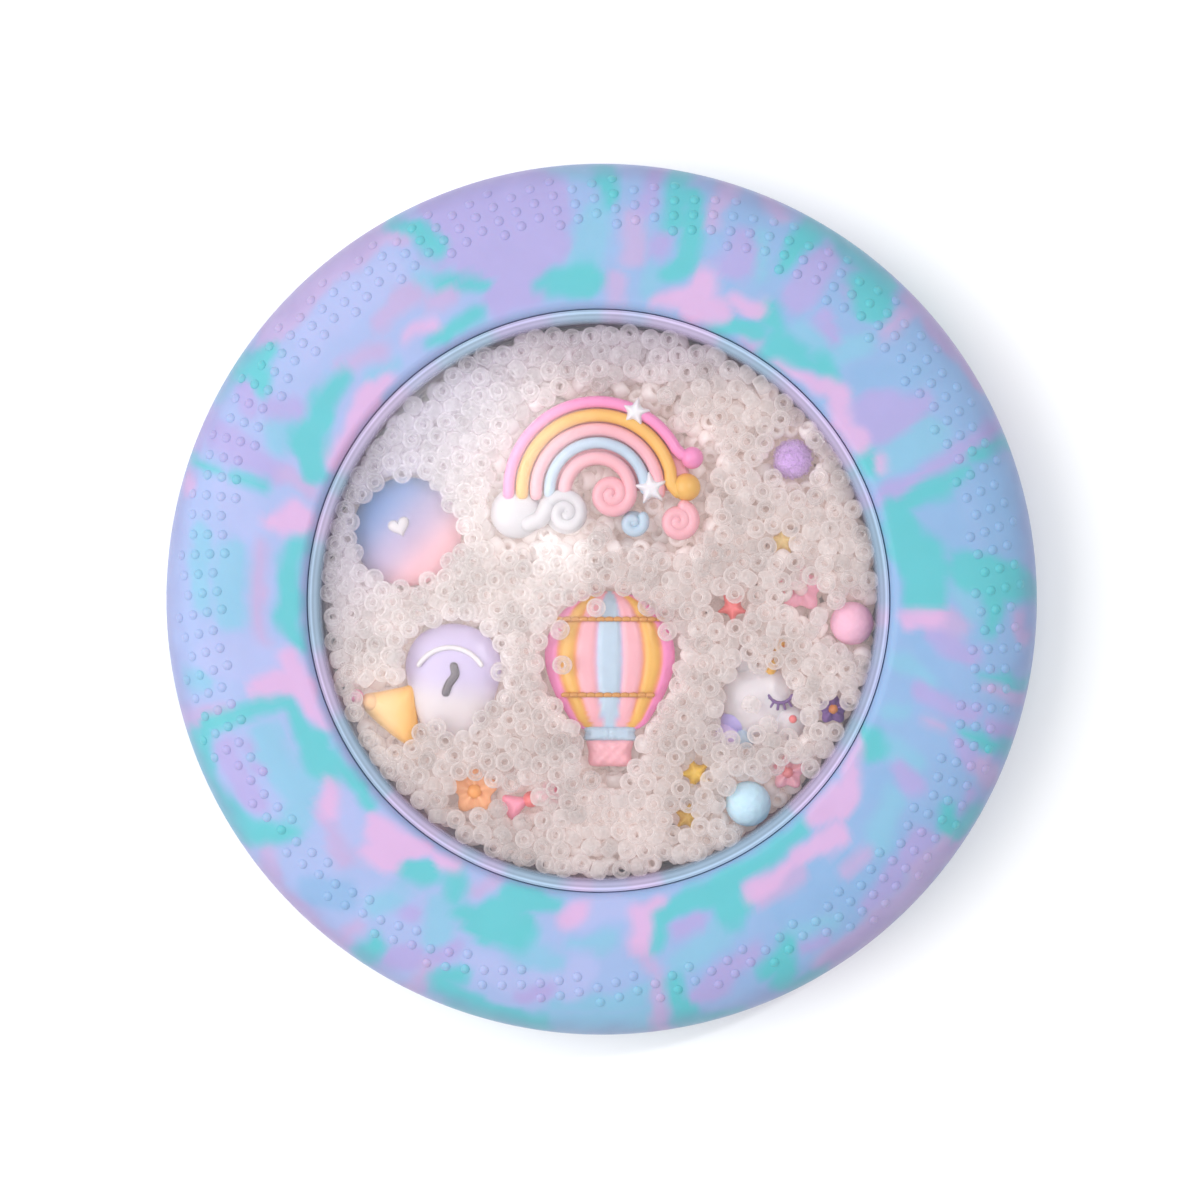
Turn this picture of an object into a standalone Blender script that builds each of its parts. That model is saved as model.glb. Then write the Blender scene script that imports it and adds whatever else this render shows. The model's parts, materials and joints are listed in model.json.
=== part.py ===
"""Sensory teething ring: a chewable silicone ring round a clear, sealed capsule of beads and charms.

The ring lies on its back. +Z is the disc's axis and points out of the front window, +Y points from the
balloon charm to the rainbow charm, and the origin is the centre of the face that the ring rests on.

Units are metres. MM turns a size in millimetres into metres.
"""

import math

import bmesh
import bpy
from mathutils import Euler, Matrix, Vector
from mathutils.bvhtree import BVHTree

MM = 0.001
GAP = 0.3 * MM  # clearance between neighbouring solids

# Silicone ring
RING_RADIUS = 75 * MM
RING_THICKNESS = 24 * MM
OPENING_RADIUS = 49.6 * MM
LIP_RADIUS = 1.6 * MM  # rounding of the lip round each window
FLAT_RADIUS = 58 * MM  # the faces are flat from the lip out to here, then fall away to the rim
RIM_FULLNESS = 2.6  # exponent of the superellipse from the flat face to the rim
RIM_STEPS = 6  # points on each quarter of the rim
RING_STEPS = 64  # facets round every turned piece of the shell

# Clear capsule: two half shells that meet at a flange in the ring's groove
WINDOW_RECESS = 1.8 * MM
WINDOW_THICKNESS = 2.4 * MM
WALL_THICKNESS = 1.4 * MM
WALL_FILLET = 1.0 * MM
FLANGE_RADIUS = 55 * MM
FLANGE_THICKNESS = 1.7 * MM  # of each half
TONGUE_RADIUS = 52 * MM  # middle of the tongue that locates the front half in the back half
TONGUE_WIDTH = 1.0 * MM
TONGUE_DEPTH = 0.8 * MM

MIDDLE = RING_THICKNESS / 2
WALL_OUTER = OPENING_RADIUS - GAP
CHAMBER_RADIUS = WALL_OUTER - WALL_THICKNESS
FRONT_FACE = RING_THICKNESS - WINDOW_RECESS
CHAMBER_TOP = FRONT_FACE - WINDOW_THICKNESS
CHAMBER_BOTTOM = RING_THICKNESS - CHAMBER_TOP

# Fill: a bed of beads over the back window, and the layer on top of it that holds the charms
BED_DEPTH = 5.2 * MM
BED_TOP = CHAMBER_BOTTOM + GAP + BED_DEPTH

# Beads: short clear tubes with rounded ends
BEAD_RADIUS = 1.7 * MM
BEAD_HOLE_RADIUS = 0.65 * MM
BEAD_LENGTH = 2.5 * MM
BEAD_CHAMFER = 0.55 * MM
BEAD_STEPS = 8
BEAD_REACH = math.hypot(BEAD_RADIUS, BEAD_LENGTH / 2)  # from a bead's centre to its furthest point
TOP_BEADS = 36  # the loose beads that are pieces of their own
BEAD_SITES = 190  # places on the spiral that the loose beads are laid out on
BEAD_TILT = 35  # the most that a loose bead leans, in degrees
GOLDEN_ANGLE = math.pi * (3 - math.sqrt(5))
AIR_POCKET = ((-27 * MM, 26.5 * MM), (-18 * MM, 36 * MM))  # left free of loose beads, so the fill can shift

# Charms: how far each one's top lies under the front window's inner face, and how far it turns each way
NEAR = 1.0 * MM
SHALLOW = 3.0 * MM
COVERED = 4.9 * MM  # a bead fits between the charm and the window
BURIED = 6.4 * MM
SWING = 6  # degrees, for a long charm held by the beads round it
FULL_TURN = 180
TURN_STEP = 12
CHARM_BEVEL = 0.6 * MM

WHITE = (0.93, 0.92, 0.91)
HOT_PINK = (0.98, 0.45, 0.72)
SOFT_PINK = (0.98, 0.68, 0.75)
YELLOW = (0.97, 0.70, 0.22)
ORANGE = (0.95, 0.45, 0.25)
PALE_BLUE = (0.62, 0.82, 0.92)
LAVENDER = (0.70, 0.56, 0.85)
MARBLE = (0.62, 0.66, 0.88)
CLEAR = (0.93, 0.94, 0.96)
BEAD_TINT = (0.92, 0.89, 0.87)


def empty_scene():
    for obj in list(bpy.data.objects):
        bpy.data.objects.remove(obj)


def material(name, colour, roughness, alpha=1.0, transmission=0.0):
    made = bpy.data.materials.new(name)
    made.use_nodes = True
    shader = made.node_tree.nodes["Principled BSDF"]
    shader.inputs["Base Color"].default_value = (*colour, 1)
    shader.inputs["Roughness"].default_value = roughness
    shader.inputs["Metallic"].default_value = 0
    shader.inputs["Alpha"].default_value = alpha
    shader.inputs["Transmission Weight"].default_value = transmission
    made.diffuse_color = (*colour, alpha)
    return made


def add_piece(name, mesh, finish, parent=None, location=(0, 0, 0), rotation=(0, 0, 0)):
    """An object with its own material, shaded smooth except at sharp edges."""
    mesh.materials.append(finish)
    mesh.shade_smooth()
    mesh.set_sharp_from_angle(angle=math.radians(35))
    obj = bpy.data.objects.new(name, mesh)
    bpy.context.scene.collection.objects.link(obj)
    obj.parent = parent
    obj.location = location
    obj.rotation_euler = rotation
    return obj


def add_pivot(name, location, parent=None):
    """An empty on a joint's axis."""
    pivot = bpy.data.objects.new(name, None)
    bpy.context.scene.collection.objects.link(pivot)
    pivot.empty_display_size = 4 * MM
    pivot.parent = parent
    pivot.location = location
    return pivot


def mesh_of(bm, name):
    bmesh.ops.recalc_face_normals(bm, faces=bm.faces)
    mesh = bpy.data.meshes.new(name)
    bm.to_mesh(mesh)
    bm.free()
    return mesh


def turned(name, profile, steps):
    """A solid of revolution about Z. The profile is a closed outline of (radius, height) points, or an open
    one that starts and ends on the axis."""
    bm = bmesh.new()
    corners = [bm.verts.new((radius, 0, height)) for radius, height in profile]
    on_axis = profile[0][0] == 0
    ends = corners[1:] if on_axis else corners[1:] + corners[:1]
    edges = [bm.edges.new(pair) for pair in zip(corners, ends)]
    bmesh.ops.spin(
        bm, geom=corners + edges, cent=(0, 0, 0), axis=(0, 0, 1), angle=math.tau, steps=steps, use_merge=True
    )
    bmesh.ops.remove_doubles(bm, verts=bm.verts, dist=0.001 * MM)
    return mesh_of(bm, name)


def arc(centre, radius, start, end, steps):
    """Points along an arc, with its angles in degrees."""
    points = []
    for i in range(steps + 1):
        angle = math.radians(start + (end - start) * i / steps)
        points.append((centre[0] + radius * math.cos(angle), centre[1] + radius * math.sin(angle)))
    return points


def prism(name, outline, height, bevel=CHARM_BEVEL):
    """An outline in X and Y, given a height along Z about z = 0, with its rims bevelled."""
    bm = bmesh.new()
    face = bm.faces.new([bm.verts.new((x, y, -height / 2)) for x, y in outline])
    raised = bmesh.ops.extrude_face_region(bm, geom=[face])["geom"]
    top = [item for item in raised if isinstance(item, bmesh.types.BMVert)]
    bmesh.ops.translate(bm, verts=top, vec=(0, 0, height))
    rims = [edge for edge in bm.edges if abs(edge.verts[0].co.z - edge.verts[1].co.z) < height / 2]
    bmesh.ops.bevel(
        bm, geom=rims, offset=bevel, offset_type="OFFSET", segments=1, profile=0.5, affect="EDGES"
    )
    return mesh_of(bm, name)


def disc(centre, radius, steps=14):
    """A round outline about a centre."""
    return arc(centre, radius, 0, 360 * (steps - 1) / steps, steps - 1)


def lobed(radius, lobes, depth, steps_per_lobe=4):
    """The outline of a flower: a circle whose radius swells at each petal."""
    steps = lobes * steps_per_lobe
    points = []
    for i in range(steps):
        angle = math.tau * i / steps
        reach = radius * (1 - depth * (1 - math.cos(lobes * angle)) / 2)
        points.append((reach * math.sin(angle), reach * math.cos(angle)))
    return points


def star(radius, waist=0.52, points=5):
    """The outline of a star."""
    corners = []
    for i in range(2 * points):
        reach = radius if i % 2 == 0 else radius * waist
        angle = math.pi * i / points
        corners.append((reach * math.sin(angle), reach * math.cos(angle)))
    return corners


def joined(name, first, others):
    """One mesh that is the union of several overlapping ones."""
    base = bpy.data.objects.new(name + "_base", first)
    bpy.context.scene.collection.objects.link(base)
    helpers = []
    for i, mesh in enumerate(others):
        helper = bpy.data.objects.new(f"{name}_add_{i}", mesh)
        bpy.context.scene.collection.objects.link(helper)
        union = base.modifiers.new(f"add_{i}", "BOOLEAN")
        union.operation = "UNION"
        union.solver = "EXACT"
        union.object = helper
        helpers.append(helper)
    bpy.context.view_layer.update()
    graph = bpy.context.evaluated_depsgraph_get()
    whole = bpy.data.meshes.new_from_object(base.evaluated_get(graph), depsgraph=graph)
    whole.name = name
    for obj in [base, *helpers]:
        bpy.data.objects.remove(obj)
    return whole


def placed(mesh, x=0.0, y=0.0, z=0.0, turn=0.0):
    """The mesh moved within its object, with its turn about Z in degrees."""
    mesh.transform(Matrix.Translation((x, y, z)) @ Matrix.Rotation(math.radians(turn), 4, "Z"))
    return mesh


def scaled(outline, size):
    return [(x * size, y * size) for x, y in outline]


def mirrored_up(profile):
    """The same profile on the other side of the mid-plane."""
    return [(radius, RING_THICKNESS - height) for radius, height in profile]


def ring_profile():
    """Half the ring's section, from the groove to the rim, and then its mirror image."""
    groove_outer = FLANGE_RADIUS + GAP
    groove_top = MIDDLE + GAP / 2 + FLANGE_THICKNESS + GAP
    half = [(groove_outer, groove_top), (OPENING_RADIUS, groove_top)]
    lip_centre = (OPENING_RADIUS + LIP_RADIUS, RING_THICKNESS - LIP_RADIUS)
    half += arc(lip_centre, LIP_RADIUS, 180, 90, 3)
    for i in range(RIM_STEPS):
        angle = math.radians(90 * (1 - i / RIM_STEPS))
        reach = math.cos(angle) ** (2 / RIM_FULLNESS)
        rise = math.sin(angle) ** (2 / RIM_FULLNESS)
        half.append((FLAT_RADIUS + (RING_RADIUS - FLAT_RADIUS) * reach, MIDDLE + MIDDLE * rise))
    return half + [(RING_RADIUS, MIDDLE)] + mirrored_up(half)[::-1]


def shell_profile(tongue):
    """The front half's section, from the axis outside to the axis inside. The tongue's depth is positive
    where it stands out of the flange, and negative where a groove takes it."""
    joint = MIDDLE + GAP / 2
    clearance = 0 if tongue > 0 else GAP
    inner = TONGUE_RADIUS - TONGUE_WIDTH / 2 - clearance
    outer = TONGUE_RADIUS + TONGUE_WIDTH / 2 + clearance
    return [
        (0, FRONT_FACE),
        (WALL_OUTER - GAP, FRONT_FACE),
        (WALL_OUTER, FRONT_FACE - GAP),
        (WALL_OUTER, joint + FLANGE_THICKNESS),
        (FLANGE_RADIUS, joint + FLANGE_THICKNESS),
        (FLANGE_RADIUS, joint),
        (outer, joint),
        (outer, joint - tongue),
        (inner, joint - tongue),
        (inner, joint),
        (CHAMBER_RADIUS, joint),
        (CHAMBER_RADIUS, CHAMBER_TOP - WALL_FILLET),
        (CHAMBER_RADIUS - WALL_FILLET, CHAMBER_TOP),
        (0, CHAMBER_TOP),
    ]


def add_shell():
    """The silicone ring and the two halves of the clear capsule, which don't move on each other."""
    silicone = material("marbled_silicone", MARBLE, 0.5)
    window = material("clear_plastic", CLEAR, 0.05, alpha=0.25, transmission=0.9)
    add_piece("silicone_ring", turned("silicone_ring", ring_profile(), RING_STEPS), silicone)
    front = turned("front_shell", shell_profile(TONGUE_DEPTH), RING_STEPS)
    add_piece("front_shell", front, window)
    back_profile = mirrored_up(shell_profile(-TONGUE_DEPTH - GAP))
    back = turned("back_shell", back_profile, RING_STEPS)
    add_piece("back_shell", back, window)


def bead_mesh():
    half = BEAD_LENGTH / 2
    profile = [
        (BEAD_HOLE_RADIUS, -half),
        (BEAD_RADIUS - BEAD_CHAMFER, -half),
        (BEAD_RADIUS, -half + BEAD_CHAMFER),
    ]
    return turned("bead", profile + [(radius, -height) for radius, height in profile[::-1]], BEAD_STEPS)


def add_bed(fill):
    """The packed beads under the charms, as one soft solid."""
    radius = CHAMBER_RADIUS - WALL_FILLET
    profile = [(0, CHAMBER_BOTTOM + GAP), (radius, CHAMBER_BOTTOM + GAP), (radius, BED_TOP), (0, BED_TOP)]
    bed = turned("bead_bed", [(r, z - fill.location.z) for r, z in profile], RING_STEPS // 2)
    add_piece("bead_bed", bed, material("packed_beads", BEAD_TINT, 0.3), fill)


def swept_surfaces(charm, swing):
    """The charm's surface in world space at steps of its turn about its pivot, from one end to the other."""
    pivot = charm.parent.matrix_world
    surfaces = []
    for angle in range(-swing, swing + 1, min(swing, TURN_STEP)):
        place = pivot @ Matrix.Rotation(math.radians(angle), 4, "Z") @ charm.matrix_local
        corners = [place @ vertex.co for vertex in charm.data.vertices]
        surfaces.append(BVHTree.FromPolygons(corners, [face.vertices for face in charm.data.polygons]))
    return surfaces


def is_clear(spot, surfaces):
    return all(surface.find_nearest(spot, BEAD_REACH + GAP)[0] is None for surface in surfaces)


def in_air_pocket(spot):
    low, high = AIR_POCKET
    inside = [low[i] - BEAD_REACH < spot[i] < high[i] + BEAD_REACH for i in range(2)]
    return all(inside)


def bead_spots(surfaces):
    """Places for loose beads just under the window: sites on a spiral that evenly covers the chamber, less
    those within a charm's reach."""
    height = CHAMBER_TOP - GAP - BEAD_REACH
    reach = CHAMBER_RADIUS - WALL_FILLET - BEAD_REACH
    spots = []
    for i in range(BEAD_SITES):
        radius = reach * math.sqrt((i + 0.5) / BEAD_SITES)
        spot = Vector((radius * math.cos(GOLDEN_ANGLE * i), radius * math.sin(GOLDEN_ANGLE * i), height))
        if is_clear(spot, surfaces) and not in_air_pocket(spot):
            spots.append(spot)
    return spots


def add_loose_beads(fill, charms):
    """Beads that lie on top of the fill, each a piece of its own that shares one mesh."""
    bpy.context.view_layer.update()
    surfaces = [surface for charm, swing in charms for surface in swept_surfaces(charm, swing)]
    spots = bead_spots(surfaces)
    mesh = bead_mesh()
    mesh.materials.append(material("clear_bead", BEAD_TINT, 0.15, alpha=0.6, transmission=0.5))
    mesh.shade_smooth()
    mesh.set_sharp_from_angle(angle=math.radians(50))
    for i in range(TOP_BEADS):
        bead = bpy.data.objects.new(f"loose_bead_{i + 1:02d}", mesh)
        bpy.context.scene.collection.objects.link(bead)
        bead.parent = fill
        bead.location = spots[i * len(spots) // TOP_BEADS] - fill.location
        bead.rotation_euler = Euler((math.radians(BEAD_TILT * math.sin(i)), 0, GOLDEN_ANGLE * i))


def add_charm(name, mesh, finish, x, y, height, depth, fill, turn=0.0):
    """A charm on its own pivot, at x and y in mm, with its top a given depth under the front window."""
    centre = Vector((x * MM, y * MM, CHAMBER_TOP - depth - height / 2))
    pivot = add_pivot(name + "_pivot", centre - fill.location, fill)
    return add_piece(name, mesh, finish, pivot, rotation=(0, 0, math.radians(turn)))


def rainbow_mesh(height):
    """An arch with curled stripe ends on the right, clouds on the left and two stars."""
    arch = arc((-0.4, 0.4), 16.3, -2, 182, 22) + arc((-0.4, 0.4), 3.9, 182, -2, 10)
    clouds = ((-14.4, -3.4, 4.2), (-5.7, -3.4, 4.1))
    curls = ((2.1, -0.4, 3.6), (5.8, -5.2, 2.8), (13.5, -4.9, 3.7), (15.0, 1.0, 2.6), (15.9, 6.2, 2.1))
    pieces = []
    for i, (x, y, r) in enumerate(clouds + curls):
        pieces.append(prism("round", scaled(disc((x, y), r), MM), height - (0.3 + 0.12 * i) * MM))
    pieces.append(placed(prism("star", scaled(star(2.7), MM), height - 1.4 * MM), 6.1 * MM, 14.2 * MM, 0, 12))
    return joined("rainbow_charm", prism("arch", scaled(arch, MM), height), pieces)


def balloon_mesh(height):
    """A hot-air balloon: its envelope, a collar and a basket."""
    envelope = arc((0, 3.0), 11.2, 200, -20, 16) + [(8.4, -5.4), (4.5, -9.6), (-4.5, -9.6), (-8.4, -5.4)]
    collar = [(-4.2, -11.6), (4.2, -11.6), (4.2, -9.2), (-4.2, -9.2)]
    basket = [(-3.5, -16.0), (3.5, -16.0), (3.7, -10.8), (-3.7, -10.8)]
    others = [
        prism("collar", scaled(collar, MM), height - 0.8 * MM),
        prism("basket", scaled(basket, MM), height - 1.2 * MM),
    ]
    return joined("balloon_charm", prism("envelope", scaled(envelope, MM), height), others)


def bird_mesh(height):
    """A bird's round head and breast, with a beak at its left."""
    head = prism("head", scaled(disc((-0.9, 3.2), 8.4, 20), MM), height)
    breast = prism("breast", scaled(disc((-0.2, -3.2), 6.8, 20), MM), height - MM)
    beak = [(-5.5, 1.4), (-8.0, 1.0), (-14.2, -0.4), (-16.8, -1.8), (-15.2, -5.4), (-9.8, -9.8), (-5.0, -6.0)]
    return joined("bird_charm", head, [breast, prism("beak", scaled(beak, MM), height - 1.5 * MM)])


def unicorn_mesh(height):
    """A unicorn's head in profile: cheek, muzzle, ear and horn, with a mane behind."""
    head = prism("head", scaled(disc((0, 0), 6.2, 18), MM), height)
    muzzle = prism("muzzle", scaled(disc((5.2, -4.0), 3.2, 14), MM), height - MM)
    mane = prism("mane", scaled(disc((-4.4, -4.6), 4.8, 16), MM), height - 1.3 * MM)
    ear = prism("ear", scaled([(-3.6, 3.0), (0.6, 4.4), (-2.8, 9.0)], MM), height - 1.8 * MM, 0.4 * MM)
    horn = prism("horn", scaled([(0.8, 4.0), (3.8, 3.0), (4.6, 10.2)], MM), height - 2.1 * MM, 0.4 * MM)
    return joined("unicorn_charm", head, [muzzle, mane, ear, horn])


def dome_mesh(height):
    """A puffed disc with rounded faces."""
    radius = 9.4 * MM
    profile = [(0, -height / 2)]
    for i in range(1, 8):
        angle = math.radians(-90 + 180 * i / 8)
        spread = math.cos(angle) ** 0.6
        profile.append((radius * spread, height / 2 * math.sin(angle)))
    return turned("pastel_dome", profile + [(0, height / 2)], 24)


def ball_mesh(name, radius):
    bm = bmesh.new()
    bmesh.ops.create_icosphere(bm, subdivisions=2, radius=radius)
    return mesh_of(bm, name)


def bow_mesh(height):
    left = placed(prism("loop", scaled(disc((0, 0), 2.5, 12), MM), height), -2.6 * MM)
    right = placed(prism("loop", scaled(disc((0, 0), 2.5, 12), MM), height - 0.2 * MM), 2.6 * MM)
    knot = prism("knot", scaled(disc((0, 0), 1.4, 10), MM), height + 0.6 * MM, 0.3 * MM)
    return joined("pink_bow", left, [right, knot])


def add_big_charms(fill):
    """The charms that show most, with how far each turns."""
    resin = 0.35
    height = 4.2 * MM
    rainbow = material("rainbow_resin", SOFT_PINK, resin)
    balloon = material("balloon_resin", YELLOW, resin)
    bird = material("bird_resin", WHITE, resin)
    unicorn = material("unicorn_resin", WHITE, resin)
    pastel = material("pastel_resin", PALE_BLUE, 0.6)
    puff = 7 * MM
    charms = [
        add_charm("rainbow_charm", rainbow_mesh(height), rainbow, 0.2, 18.4, height, NEAR, fill),
        add_charm("balloon_charm", balloon_mesh(height), balloon, 1.8, -12.6, height, SHALLOW, fill),
        add_charm("bird_charm", bird_mesh(height), bird, -24.4, -15.2, height, SHALLOW, fill),
        add_charm("unicorn_charm", unicorn_mesh(height), unicorn, 27.2, -17.0, height, COVERED, fill),
        add_charm("pastel_dome", dome_mesh(puff), pastel, -33.2, 11.8, puff, 1.6 * MM, fill),
    ]
    return list(zip(charms, (SWING, SWING, SWING, SWING, FULL_TURN)))


def add_balls(fill):
    """Matte balls and a felt pompom that roll in their places by the chamber's wall."""
    spots = (
        ("pink_ball", 43.3, -3.9, 3.75, SOFT_PINK),
        ("blue_ball", 25.6, -34.9, 3.95, PALE_BLUE),
        ("purple_pompom", 33.2, 24.2, 3.6, LAVENDER),
    )
    balls = []
    for name, x, y, radius, colour in spots:
        size = radius * MM
        finish = material(name, colour, 0.8)
        ball = add_charm(name, ball_mesh(name, size), finish, x, y, 2 * size, NEAR, fill)
        balls.append((ball, FULL_TURN))
    return balls


def add_small_charms(fill):
    """Flowers, stars and a bow under the top beads, each free to turn right round."""
    height = 2.6 * MM
    flowers = (
        ("orange_flower", -21.6, -33.4, 4.2, ORANGE, COVERED),
        ("purple_flower", 40.2, -19.0, 2.8, LAVENDER, BURIED),
        ("pink_flower", 34.6, 1.6, 4.2, SOFT_PINK, BURIED),
        ("rose_flower", 32.4, -30.0, 3.2, SOFT_PINK, BURIED),
    )
    stars = (
        ("yellow_star", 16.8, -29.8, 2.8, 20, YELLOW, COVERED),
        ("gold_star", 15.0, -37.6, 2.5, -10, YELLOW, BURIED),
        ("pink_star", 22.9, -1.0, 2.7, 35, HOT_PINK, COVERED),
        ("cream_star", 31.4, 9.9, 2.5, 0, YELLOW, BURIED),
    )
    charms = []
    for name, x, y, radius, colour, depth in flowers:
        mesh = prism(name, scaled(lobed(radius, 5, 0.3), MM), height)
        charms.append(add_charm(name, mesh, material(name, colour, 0.45), x, y, height, depth, fill))
    for name, x, y, radius, turn, colour, depth in stars:
        mesh = prism(name, scaled(star(radius), MM), height, 0.35 * MM)
        charms.append(add_charm(name, mesh, material(name, colour, 0.45), x, y, height, depth, fill, turn))
    bow = material("pink_bow", HOT_PINK, 0.45)
    charms.append(add_charm("pink_bow", bow_mesh(height), bow, -11.9, -34.4, height, COVERED, fill, 20))
    return [(charm, FULL_TURN) for charm in charms]


def main():
    empty_scene()
    add_shell()
    fill = add_pivot("fill_axis", (0, 0, MIDDLE))
    add_bed(fill)
    charms = add_big_charms(fill) + add_balls(fill) + add_small_charms(fill)
    add_loose_beads(fill, charms)


main()
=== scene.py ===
"""Looks for a sensory teething ring: marbled silicone round a clear capsule of beads and pastel charms.

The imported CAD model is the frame. Every piece here is in metres in that frame, and MM turns millimetres
into metres. The ring lies on its back, its window looks along +Z, and +Y points from the balloon charm to
the rainbow charm.
"""

import json
import math

import bpy
import numpy as np
from mathutils import Matrix, Vector
from mathutils.bvhtree import BVHTree
from mathutils.kdtree import KDTree

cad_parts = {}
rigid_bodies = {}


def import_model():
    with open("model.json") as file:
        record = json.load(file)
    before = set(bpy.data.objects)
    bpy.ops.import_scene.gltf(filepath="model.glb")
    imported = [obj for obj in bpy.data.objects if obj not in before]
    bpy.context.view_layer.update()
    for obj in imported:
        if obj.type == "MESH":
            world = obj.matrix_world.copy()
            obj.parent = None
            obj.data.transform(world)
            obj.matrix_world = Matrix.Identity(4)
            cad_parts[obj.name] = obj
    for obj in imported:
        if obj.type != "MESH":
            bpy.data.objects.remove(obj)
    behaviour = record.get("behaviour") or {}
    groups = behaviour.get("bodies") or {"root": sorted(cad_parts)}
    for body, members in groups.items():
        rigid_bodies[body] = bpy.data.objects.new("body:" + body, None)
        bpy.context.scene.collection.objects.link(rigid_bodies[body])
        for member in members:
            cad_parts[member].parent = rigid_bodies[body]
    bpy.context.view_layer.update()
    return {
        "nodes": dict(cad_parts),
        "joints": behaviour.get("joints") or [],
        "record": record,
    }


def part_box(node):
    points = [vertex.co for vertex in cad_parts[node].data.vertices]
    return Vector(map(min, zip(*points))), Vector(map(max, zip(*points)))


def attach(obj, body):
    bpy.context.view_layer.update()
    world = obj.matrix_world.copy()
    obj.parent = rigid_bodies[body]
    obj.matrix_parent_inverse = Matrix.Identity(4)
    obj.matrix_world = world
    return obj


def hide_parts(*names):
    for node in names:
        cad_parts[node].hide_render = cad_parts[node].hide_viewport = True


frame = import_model()

MM = 0.001

# Sizes in mm, as the CAD model has them
RING_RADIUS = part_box("silicone_ring")[1].x / MM
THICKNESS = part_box("silicone_ring")[1].z / MM
MIDDLE = THICKNESS / 2
WINDOW_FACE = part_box("front_shell")[1].z / MM
OPENING_RADIUS = 49.6
LIP_RADIUS = 1.6
FLAT_RADIUS = 58.0
RIM_FULLNESS = 2.6  # exponent of the superellipse from the flat face to the rim
GROOVE_RADIUS = 55.3
GROOVE_TOP = MIDDLE + 2.15
FLANGE_RADIUS = 55.0
FLANGE_THICKNESS = 1.7
WINDOW_THICKNESS = 2.4
CHAMBER_RADIUS = 47.9
CHAMBER_TOP = WINDOW_FACE - WINDOW_THICKNESS
CHAMBER_BOTTOM = THICKNESS - CHAMBER_TOP
RING_STEPS = 400
WINDOW_STEPS = 256

# The raised dots: lines that slant inwards across the rim, in mm and degrees
NUB_RADIUS = 0.9
NUB_HEIGHT = 0.3
NUB_LINES = 42
NUBS_IN_LINE = 10
NUB_START = (2.35, 71.7)  # angle and radius of the first line's outer dot
NUB_STEP = (2.737, -0.87)  # from one dot of a line to the next
BARE_ANGLES = (203, 306)  # the dots beyond BARE_RADIUS are left out between these
BARE_RADIUS = 68.9

# Colours as sRGB bytes
TEAL = (100, 210, 216)
AQUA = (148, 206, 236)
SKY = (152, 192, 236)
PERIWINKLE = (188, 198, 246)
LAVENDER = (190, 178, 234)
ORCHID = (206, 184, 230)
PINK = (238, 190, 236)
WHITE = (217, 209, 212)
CLOUD = (212, 205, 208)
STAR_WHITE = (236, 231, 234)
HOT_PINK = (244, 143, 194)
BLUSH = (243, 175, 184)
YELLOW = (240, 183, 88)
ORANGE = (238, 150, 96)
PALE_BLUE = (188, 206, 222)
CORAL = (240, 130, 130)
PLUM = (120, 88, 140)
DARK = (96, 84, 92)


# --- Colour and mesh helpers -------------------------------------------------------------------------


def linear(colour):
    """A colour in sRGB bytes as linear values."""
    values = np.asarray(colour, float) / 255
    return np.where(values <= 0.04045, values / 12.92, ((values + 0.055) / 1.055) ** 2.4)


class Shape:
    """Closed surfaces gathered into one mesh, with a colour at each vertex. Sizes are in mm."""

    def __init__(self):
        self.points = []
        self.faces = []
        self.tints = []

    def add(self, points, faces, tints, haze=1.0):
        start = sum(len(part) for part in self.points)
        self.points.append(np.asarray(points, float))
        self.faces.extend([tuple(start + i for i in face) for face in faces])
        colours = np.ones((len(points), 4))
        colours[:, :3] = linear(tints)
        colours[:, 3] = haze
        self.tints.append(colours)

    def mesh(self, name):
        mesh = bpy.data.meshes.new(name)
        points = np.concatenate(self.points) * MM
        mesh.from_pydata(points.tolist(), [], self.faces)
        tint = mesh.color_attributes.new("tint", "FLOAT_COLOR", "POINT")
        tint.data.foreach_set("color", np.concatenate(self.tints).astype(np.float32).ravel())
        mesh.shade_smooth()
        return mesh


def loft_faces(rows, columns):
    """Faces of a closed skin: a pole, then rings of the same number of points, then a pole."""
    faces = [(0, 1 + (j + 1) % columns, 1 + j) for j in range(columns)]
    for i in range(rows - 1):
        low = 1 + i * columns
        high = low + columns
        for j in range(columns):
            beside = (j + 1) % columns
            faces.append((low + j, low + beside, high + beside, high + j))
    last = 1 + (rows - 1) * columns
    faces += [(last + j, last + (j + 1) % columns, last + columns) for j in range(columns)]
    return faces


def turn_matrix(degrees):
    """A turn for rows of x and y that stand to its left in a product."""
    angle = math.radians(degrees)
    return np.array([(math.cos(angle), math.sin(angle)), (-math.sin(angle), math.cos(angle))])


def round_outline(radius, steps=48):
    angles = np.linspace(0, math.tau, steps, endpoint=False)
    return np.column_stack([radius * np.cos(angles), radius * np.sin(angles)])


def catmull_rom(before, start, end, after, t):
    """A point between start and end, at t from 0 to 1, on the smooth curve through all four."""
    slope = (end - before) * t
    square = (2 * before - 5 * start + 4 * end - after) * t**2
    cube = (3 * start - before - 3 * end + after) * t**3
    return 0.5 * (2 * start + slope + square + cube)


def smooth_outline(corners, steps=10):
    """A closed smooth curve through the corners."""
    corners = np.asarray(corners, float)
    before = np.roll(corners, 1, 0)
    end = np.roll(corners, -1, 0)
    after = np.roll(corners, -2, 0)
    rows = [catmull_rom(before, corners, end, after, t) for t in np.linspace(0, 1, steps, endpoint=False)]
    return np.stack(rows, 1).reshape(-1, 2)


def star_outline(radius, turn=0.0, points=5, waist=0.55):
    """A star with soft points."""
    angles = math.radians(turn) + math.pi * np.arange(2 * points) / points
    reach = np.where(np.arange(2 * points) % 2 == 0, radius, radius * waist)
    return smooth_outline(np.column_stack([reach * np.sin(angles), reach * np.cos(angles)]), 6)


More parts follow.
